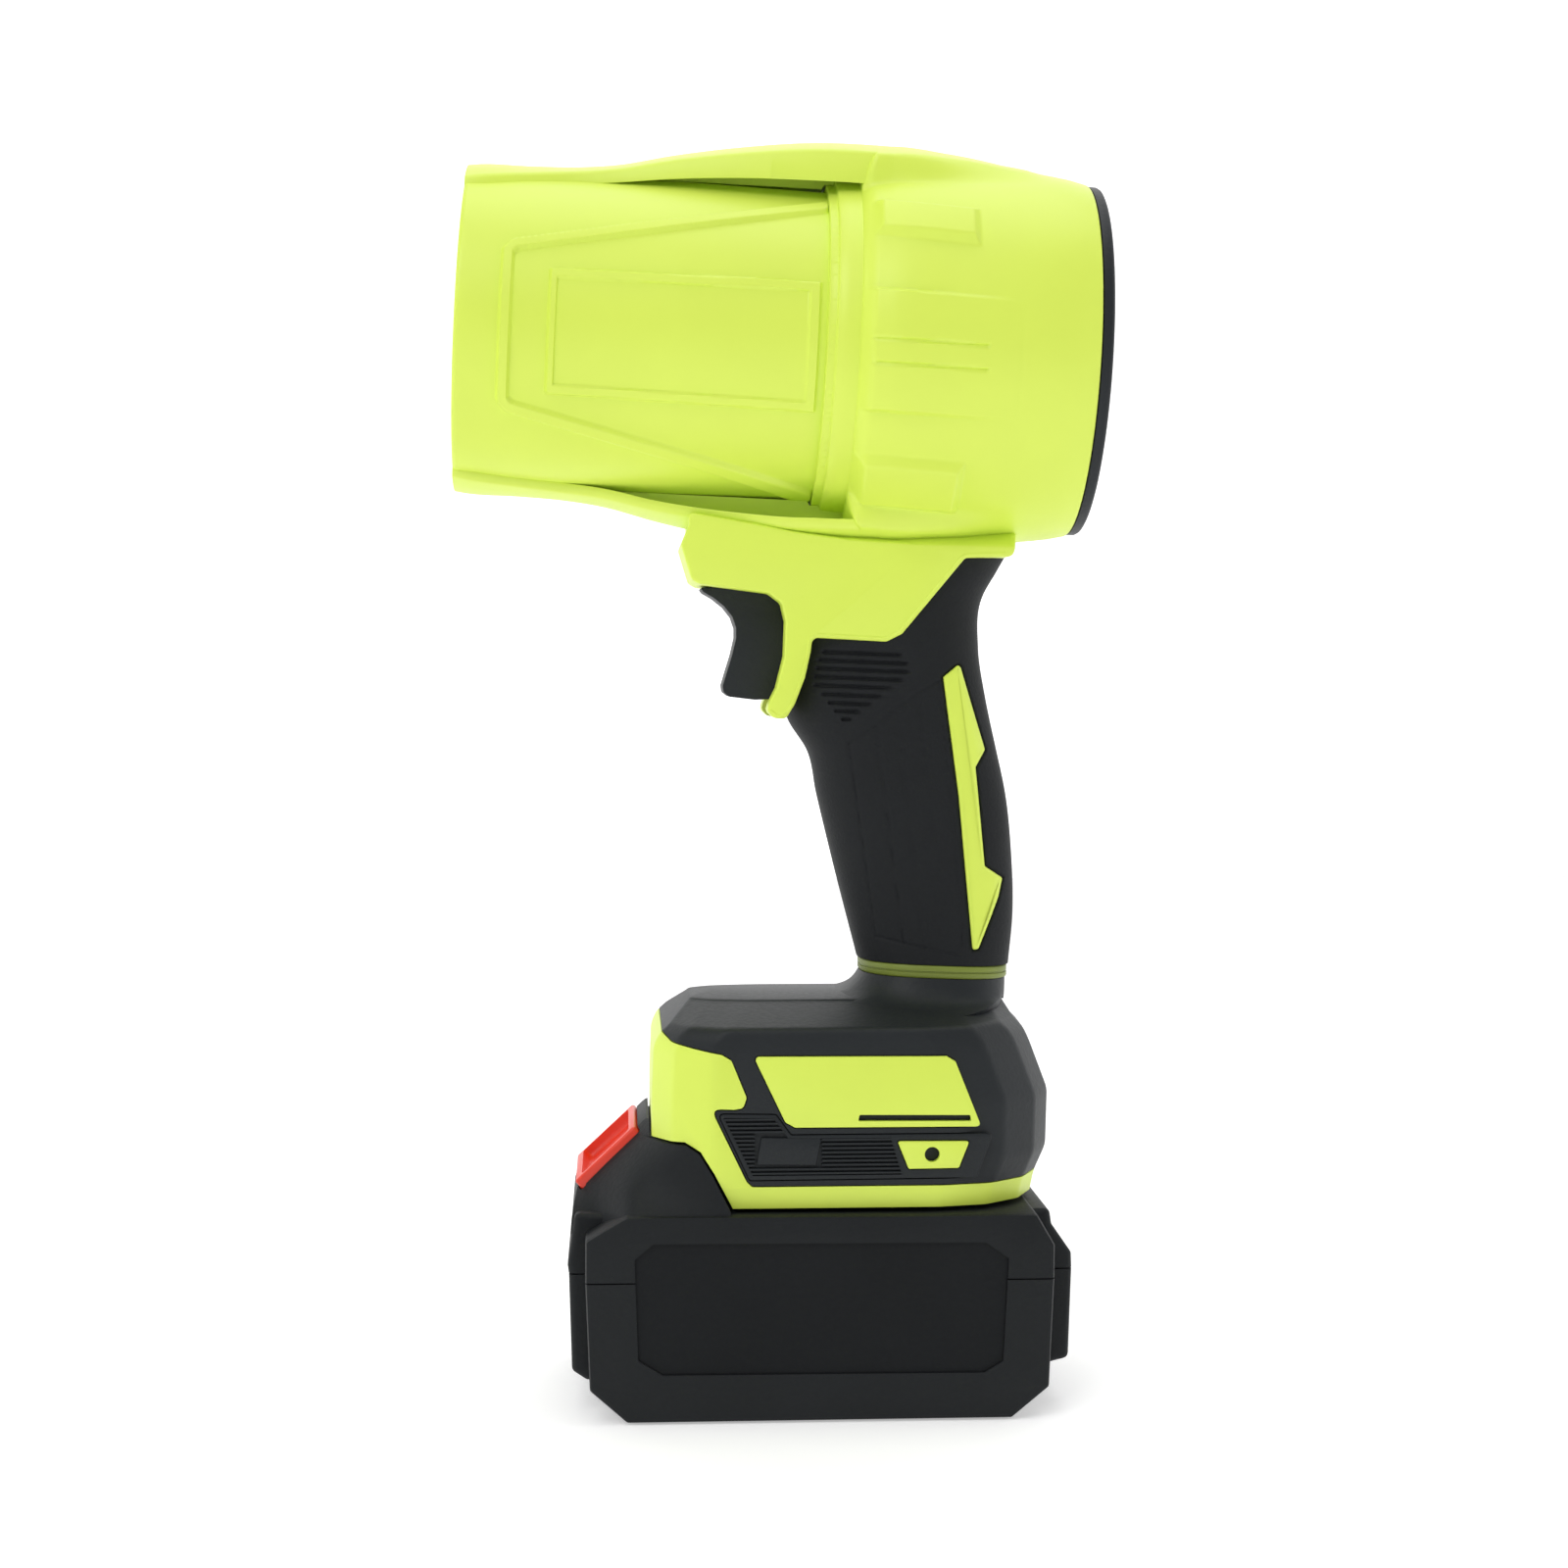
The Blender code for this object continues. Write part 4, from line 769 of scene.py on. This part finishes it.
TRIM_REGION = [(-40.0, 40.0), (70.0, 40.0), (70.0, 51.4), (-9.1, 51.4), (-10.3, 52.6), (-18.3, 69.0),
               (-13.1, 68.8), (-11.1, 69.1), (-10.3, 71.4), (-13.7, 79.7), (-15.9, 81.0), (-22.1, 82.1),
               (-27.0, 83.2), (-29.2, 84.9), (-40.0, 84.9)]
FOOT_CUT = [(-40.0, 45.0), (-13.3, 45.0), (-13.3, 46.5), (-17.5, 54.5), (-20.5, 59.2), (-24.0, 61.2),
            (-40.0, 61.2)]
LABEL_OUTLINE = [(-1.7, 65.9), (0.5, 64.7), (42.3, 64.6), (36.5, 79.2), (34.5, 80.4), (-7.9, 80.6),
                 (-8.4, 79.8)]
PANEL_OUTLINE = [(-9.6, 53.0), (41.4, 53.2), (44.9, 63.0), (-0.4, 63.0), (-3.8, 67.6), (-16.6, 67.8)]
CLIP_OUTLINE = [(25.9, 55.3), (37.2, 55.4), (39.6, 61.4), (23.4, 61.5)]

sections = [foot_ring(46.6, -31.0, 56.9, 33.9)] + [foot_ring(*section) for section in FOOT_SECTIONS]
whole = loft("foot_shell", softened(sections, 1.3))
cut(whole, prism("under", FOOT_CUT, -50, 50))
region = rounded(TRIM_REGION, [0, 0, 0, 1.2, 1.2, 2.0, 1.2, 1.2, 1.2, 1.2, 1.0, 1.0, 1.0, 1.0, 0], 4)
trim = copy_of(whole, "foot_lime_trim")
combine(trim, prism("region", region, -50, 50), "INTERSECT")
cut(trim, foot_room(2.7))
cut(whole, prism("region", grown(region, 0.28), -50, 50))
cut(whole, foot_room(3.0))
for side in (-1, 1):
    for flat in (LABEL_OUTLINE, PANEL_OUTLINE):
        cut(whole, prism("pocket", grown(rounded(flat, 0.8, 3), 0.25), side * POCKET_FLOOR, side * 50))
for point in FOOT_SCREWS:
    cut(whole, head_hole(*point, out=50))
bevel(trim, 0.3, 2, 50)
finish_piece(trim, "tool", "lime_plastic", ["foot_trim"], 40)


def foot_top(x, y):
    """Height of the foot's upper surface."""
    across = np.interp(np.abs(y), [8.0, 16.2, 33.6, 34.5], [91.9, 91.0, 86.6, 81.5])
    along = np.interp(x, [-29.6, -21.5, -17.0, 47.0, 50.5, 53.0, 55.0],
                      [86.6, 91.2, 92.1, 92.1, 91.2, 86.6, 81.5])
    return np.minimum(across, along)


neck = []
for g in np.linspace(0, 17, 28):
    x, y, _ = squircle(17.7 - g, 51.8 - g * 0.06, 16.9 + g * 0.6, 120)
    base = foot_top(x, y)
    top = 95.75 - GRIP_TILT * (x - 35)
    neck.append(list(zip(x, y, base - 0.04 * g + (top - base) * math.exp(-g / 2.3))))
x, y, _ = squircle(4.0, 49.5, 24.0, 120)
neck.append(list(zip(x, y, np.full(120, 84.0))))
neck = loft("neck", neck)
shell = merged("foot_black_shell", whole, neck)
finish_piece(shell, "tool", "black_plastic", ["foot_left", "foot_right"], 32)


def both_sides(left, node, slot, sharp):
    """Finishes a piece on the foot's left side, and its mirror image on the right."""
    right = mirrored(left, left.name + "_right_piece")
    finish_piece(left, "tool", slot, [node + "_left"], sharp)
    finish_piece(right, "tool", slot, [node + "_right"], sharp)


# side plates, the ribbed panel and the screw plate
label = bevel(prism("label", rounded(LABEL_OUTLINE, 0.9, 4), -35.0, -PLATE_INNER), 0.3, 2, 50)
SLIT = [(14.6, 66.05), (40.0, 65.85), (39.8, 67.25), (14.9, 67.5)]
cut(label, prism("slit", rounded(anticlockwise(SLIT), 0.3, 2), -36, -33))
both_sides(label, "label_plate", "lime_plastic", 40)

PANEL = rounded(PANEL_OUTLINE, 0.8, 3)
BADGE = [(-8.1, 56.6), (5.1, 56.3), (6.3, 62.2), (-7.0, 62.5)]
RIBBED = [(-8.9, 54.0), (24.4, 54.0), (21.9, 62.2), (-0.9, 62.2), (-4.3, 66.8), (-15.4, 67.0)]
RIDGE = [(-33.7, -0.3), (-34.75, -0.2), (-34.75, 0.2), (-33.7, 0.3)]  # y, and height from its middle
panel = bevel(prism("panel", PANEL, -34.55, -PLATE_INNER), 0.2, 2, 50)
cut(panel, prism("room", RIBBED, -36, -33.8))
cut(panel, prism("window", grown(rounded(CLIP_OUTLINE, 0.5, 3), 0.25), -40, -30))
pieces = [panel, bevel(prism("badge", rounded(BADGE, 0.3, 2), -34.7, -33.7), 0.15, 2, 50)]
for k in range(14):
    level = 54.5 + 0.93 * k
    crossings = []
    for (ax, az), (bx, bz) in zip(RIBBED, RIBBED[1:] + RIBBED[:1]):
        if (az > level) != (bz > level):
            crossings.append(ax + (bx - ax) * (level - az) / (bz - az))
    x0, x1 = min(crossings), max(crossings)
    runs = [(x0, -8.7), (6.7, x1)] if 55.9 < level < 63.0 else [(x0, x1)]
    for a, b in runs:
        if b - a > 1.0:
            ridge = [[(x, y, level + dz) for y, dz in RIDGE] for x in (a - 0.2, b + 0.2)]
            pieces.append(loft("ridge", ridge))
both_sides(merged("side_panel", *pieces), "side_panel", "black_plastic", 30)

clip = bevel(prism("screw_tab", rounded(CLIP_OUTLINE, 0.5, 3), -35.2, -PLATE_INNER), 0.3, 2, 50)
cut(clip, rod("hole", (31.2, -40, 58.5), (31.2, -30, 58.5), 1.7))
both_sides(clip, "screw_plate", "lime_plastic", 40)


# ---------------------------------------------------------------- battery

PLATE = [(-36.9, 0.0), (48.8, 0.0), (57.2, 6.8), (58.4, 31.0), (58.5, 38.5), (54.5, 45.4), (-37.0, 45.7),
         (-46.2, 40.4), (-46.2, 31.0), (-45.2, 7.2)]
END = [(-46.0, 7.0), (59.0, 9.6), (63.2, 10.6), (64.0, 31.0), (63.9, 34.5), (59.4, 41.0), (58.9, 44.6),
       (-48.7, 44.6), (-50.3, 33.0), (-50.0, 31.0), (-49.3, 9.2)]
RECESS = [(-35.3, 36.3), (-34.5, 13.9), (-29.1, 10.6), (42.6, 10.3), (46.8, 12.8), (48.1, 35.7), (42.9, 39.3),
          (-31.1, 39.7)]
plate = bevel(prism("plate", rounded(anticlockwise(PLATE), 1.2, 4), -38.0, 38.0), 2.2, 2, 50)
ends = bevel(prism("ends", rounded(anticlockwise(END), 1.6, 4), -27.0, 27.0), 2.2, 4, 50)


def nose_width(x, z):
    """Half width of the nose: narrow at the front, spreading out towards the foot and down to the plate."""
    t = np.clip((x + 50.5) / 34, 0, 1)
    wide = 24.5 + 9.5 * smooth_step(t)
    low = 26.0 + 11.0 * smooth_step((x + 45.0) / 10.0)
    down = np.clip((62.0 - z) / 17.0, 0, 1)
    return wide + (low - wide) * down ** 2.2


def nose():
    """The raised front of the battery, level by level, with a rounded front on each side of the button."""
    rings = []
    rows = span(39.6, 64.1, 0.6)
    front = np.interp(rows, [39.0, 44.0, 48.0, 49.8, 53.6, 60.7, 63.6, 64.2],
                      [-49.6, -49.3, -48.4, -47.8, -43.8, -36.1, -33.1, -32.3])
    rear = np.interp(rows, [44.0, 46.2, 54.2, 58.8, 60.7, 60.9, 64.2],
                     [-13.9, -13.9, -18.0, -20.9, -24.1, -31.9, -31.9])
    for z, f, r in zip(rows, front, rear):
        spots = []
        count = 26
        for k in range(count + 1):
            x = f + (r - f) * (k / count) ** 1.6
            near = min(1.0, (x - f) / 15.0)
            w = float(nose_width(x, z))
            face = float(np.interp(z, [43.0, 49.0], [25.0, 14.8]))
            w = w - max(0.0, w - face) * (1 - near) ** 2.4
            spots.append((x, w))
        ring = [(x, w, z) for x, w in spots] + [(x, -w, z) for x, w in reversed(spots)]
        rings.append(ring)
    return loft("nose", rings)


snout = nose()
SLOPE = Matrix.Translation((-40.6 * MM, 0, 56.5 * MM)) @ Matrix.Rotation(BUTTON_ANGLE, 4, "Y")
window = bevel(box("window", (-10.8, -17.4, -7.6), (8.4, 17.4, 9.0)), 0.5, 3, 50)
window.data.transform(SLOPE)
cut(snout, window)
rail = bevel(box("rail", (-13.0, -20.9, 44.0), (32.0, 20.9, 59.2)), 0.6, 2)
flange = bevel(box("flange", (-13.0, -27.5, 53.5), (32.0, 27.5, 57.6)), 0.6, 2)
for piece in (rail, flange):
    for y in (-RAIL_SLOT_Y, RAIL_SLOT_Y):
        cut(piece, box("slot", (17.0, y - 1.0, 46.0), (40.0, y + 1.0, 62.0)))
case = combine(plate, ends, "UNION")
cut(case, box("parting", (-80, -60, 30.85), (90, 60, 31.15)))
insets = []
for side in (-1, 1):
    cut(case, prism("recess", rounded(anticlockwise(RECESS), 0.8, 3), side * 37.3, side * 45))
    low, high = sorted((side * 36.6, side * 37.35))
    insets.append(prism("inset", rounded(grown(anticlockwise(RECESS), -0.05), 0.8, 3), low, high))
case = merged("battery_case", case, snout, rail, flange)
finish_piece(merged("battery_side_insets", *insets), "battery", "battery_plastic", look="inset_plastic")
finish_piece(case, "battery", "battery_plastic", ["battery_upper_case", "battery_lower_case"], 32)

button = bevel(box("button", (-10.4, -17.0, -4.6), (8.0, 17.0, 0.9)), 0.6, 3)
scoop = bevel(box("scoop", (-8.2, -15.6, -2.0), (6.4, 15.6, 6.0)), 1.4, 4)
cut(button, scoop)
button.data.transform(SLOPE)
stem = box("stem", (-40.8, -5.0, 48.2), (-36.8, 5.0, 53.0))
finish_piece(merged("battery_button", button, stem), "latch", "red_plastic", ["release_button"], 40)


# ---------------------------------------------------------------- studio

def area_light(name, place, target, size, power, size_y=None):
    """A soft light at a place in metres, aimed at a target."""
    lamp = bpy.data.lights.new(name, "AREA")
    lamp.energy = power
    lamp.size = size
    if size_y:
        lamp.shape = "RECTANGLE"
        lamp.size_y = size_y
    made = bpy.data.objects.new(name, lamp)
    made.location = place
    aim = Vector(target) - Vector(place)
    made.rotation_euler = aim.to_track_quat("-Z", "Y").to_euler()
    bpy.context.scene.collection.objects.link(made)


world = bpy.data.worlds.new("studio")
world.use_nodes = True
world.node_tree.nodes["Background"].inputs["Color"].default_value = (1, 1, 1, 1)
world.node_tree.nodes["Background"].inputs["Strength"].default_value = 0.32
bpy.context.scene.world = world
area_light("key", (-0.5, -0.9, 1.1), (0, 0, 0.18), 0.7, 6.5)
area_light("top", (0.1, 0.1, 1.3), (0, 0, 0.15), 1.0, 6.0)
area_light("fill", (0.9, -0.7, 0.5), (0, 0, 0.15), 0.8, 0.6)
area_light("left", (-1.1, 0.05, 0.35), (0, 0, 0.15), 0.6, 3.2, 1.2)
area_light("right", (1.1, 0.1, 0.4), (0, 0, 0.15), 0.6, 3, 1.2)
area_light("back", (0.3, 1.2, 0.8), (0, 0, 0.15), 1.2, 1.6)


def sheet(name, run, glow):
    """A pale sheet of the studio, from a run of (y, z) points in metres, that glows softly."""
    mesh = bpy.data.meshes.new(name)
    corners = [(x, y, z) for y, z in run for x in (-4.0, 4.0)]
    mesh.from_pydata(corners, [], [(2 * i, 2 * i + 1, 2 * i + 3, 2 * i + 2) for i in range(len(run) - 1)])
    mesh.shade_smooth()
    pale = bpy.data.materials.new(name + "_look")
    pale.use_nodes = True
    shader = pale.node_tree.nodes["Principled BSDF"]
    shader.inputs["Base Color"].default_value = (0.78, 0.78, 0.78, 1)
    shader.inputs["Roughness"].default_value = 0.9
    shader.inputs["Emission Color"].default_value = (1, 1, 1, 1)
    shader.inputs["Emission Strength"].default_value = glow
    mesh.materials.append(pale)
    made = bpy.data.objects.new(name, mesh)
    made.location = (0, 0, -0.0004)
    bpy.context.scene.collection.objects.link(made)


curve = [(1.6 + 1.2 * math.sin(t), 1.2 - 1.2 * math.cos(t)) for t in np.linspace(0, math.pi / 2, 12)]
sheet("floor", [(-3.0, 0.0), (1.6, 0.0)], 0.4)
sheet("backdrop", curve + [(2.8, 4.0)], 0.85)

eye = bpy.data.cameras.new("camera")
eye.lens = 66.0
eye.sensor_width = 36.0
eye.shift_y = -0.075
eye.clip_start = 0.01
viewer = bpy.data.objects.new("camera", eye)
viewer.location = (-0.0389, -0.6749, 0.16765)
viewer.rotation_euler = (math.radians(90), 0, math.radians(-3.3))
bpy.context.scene.collection.objects.link(viewer)
bpy.context.scene.camera = viewer
bpy.context.scene.view_settings.view_transform = "Standard"
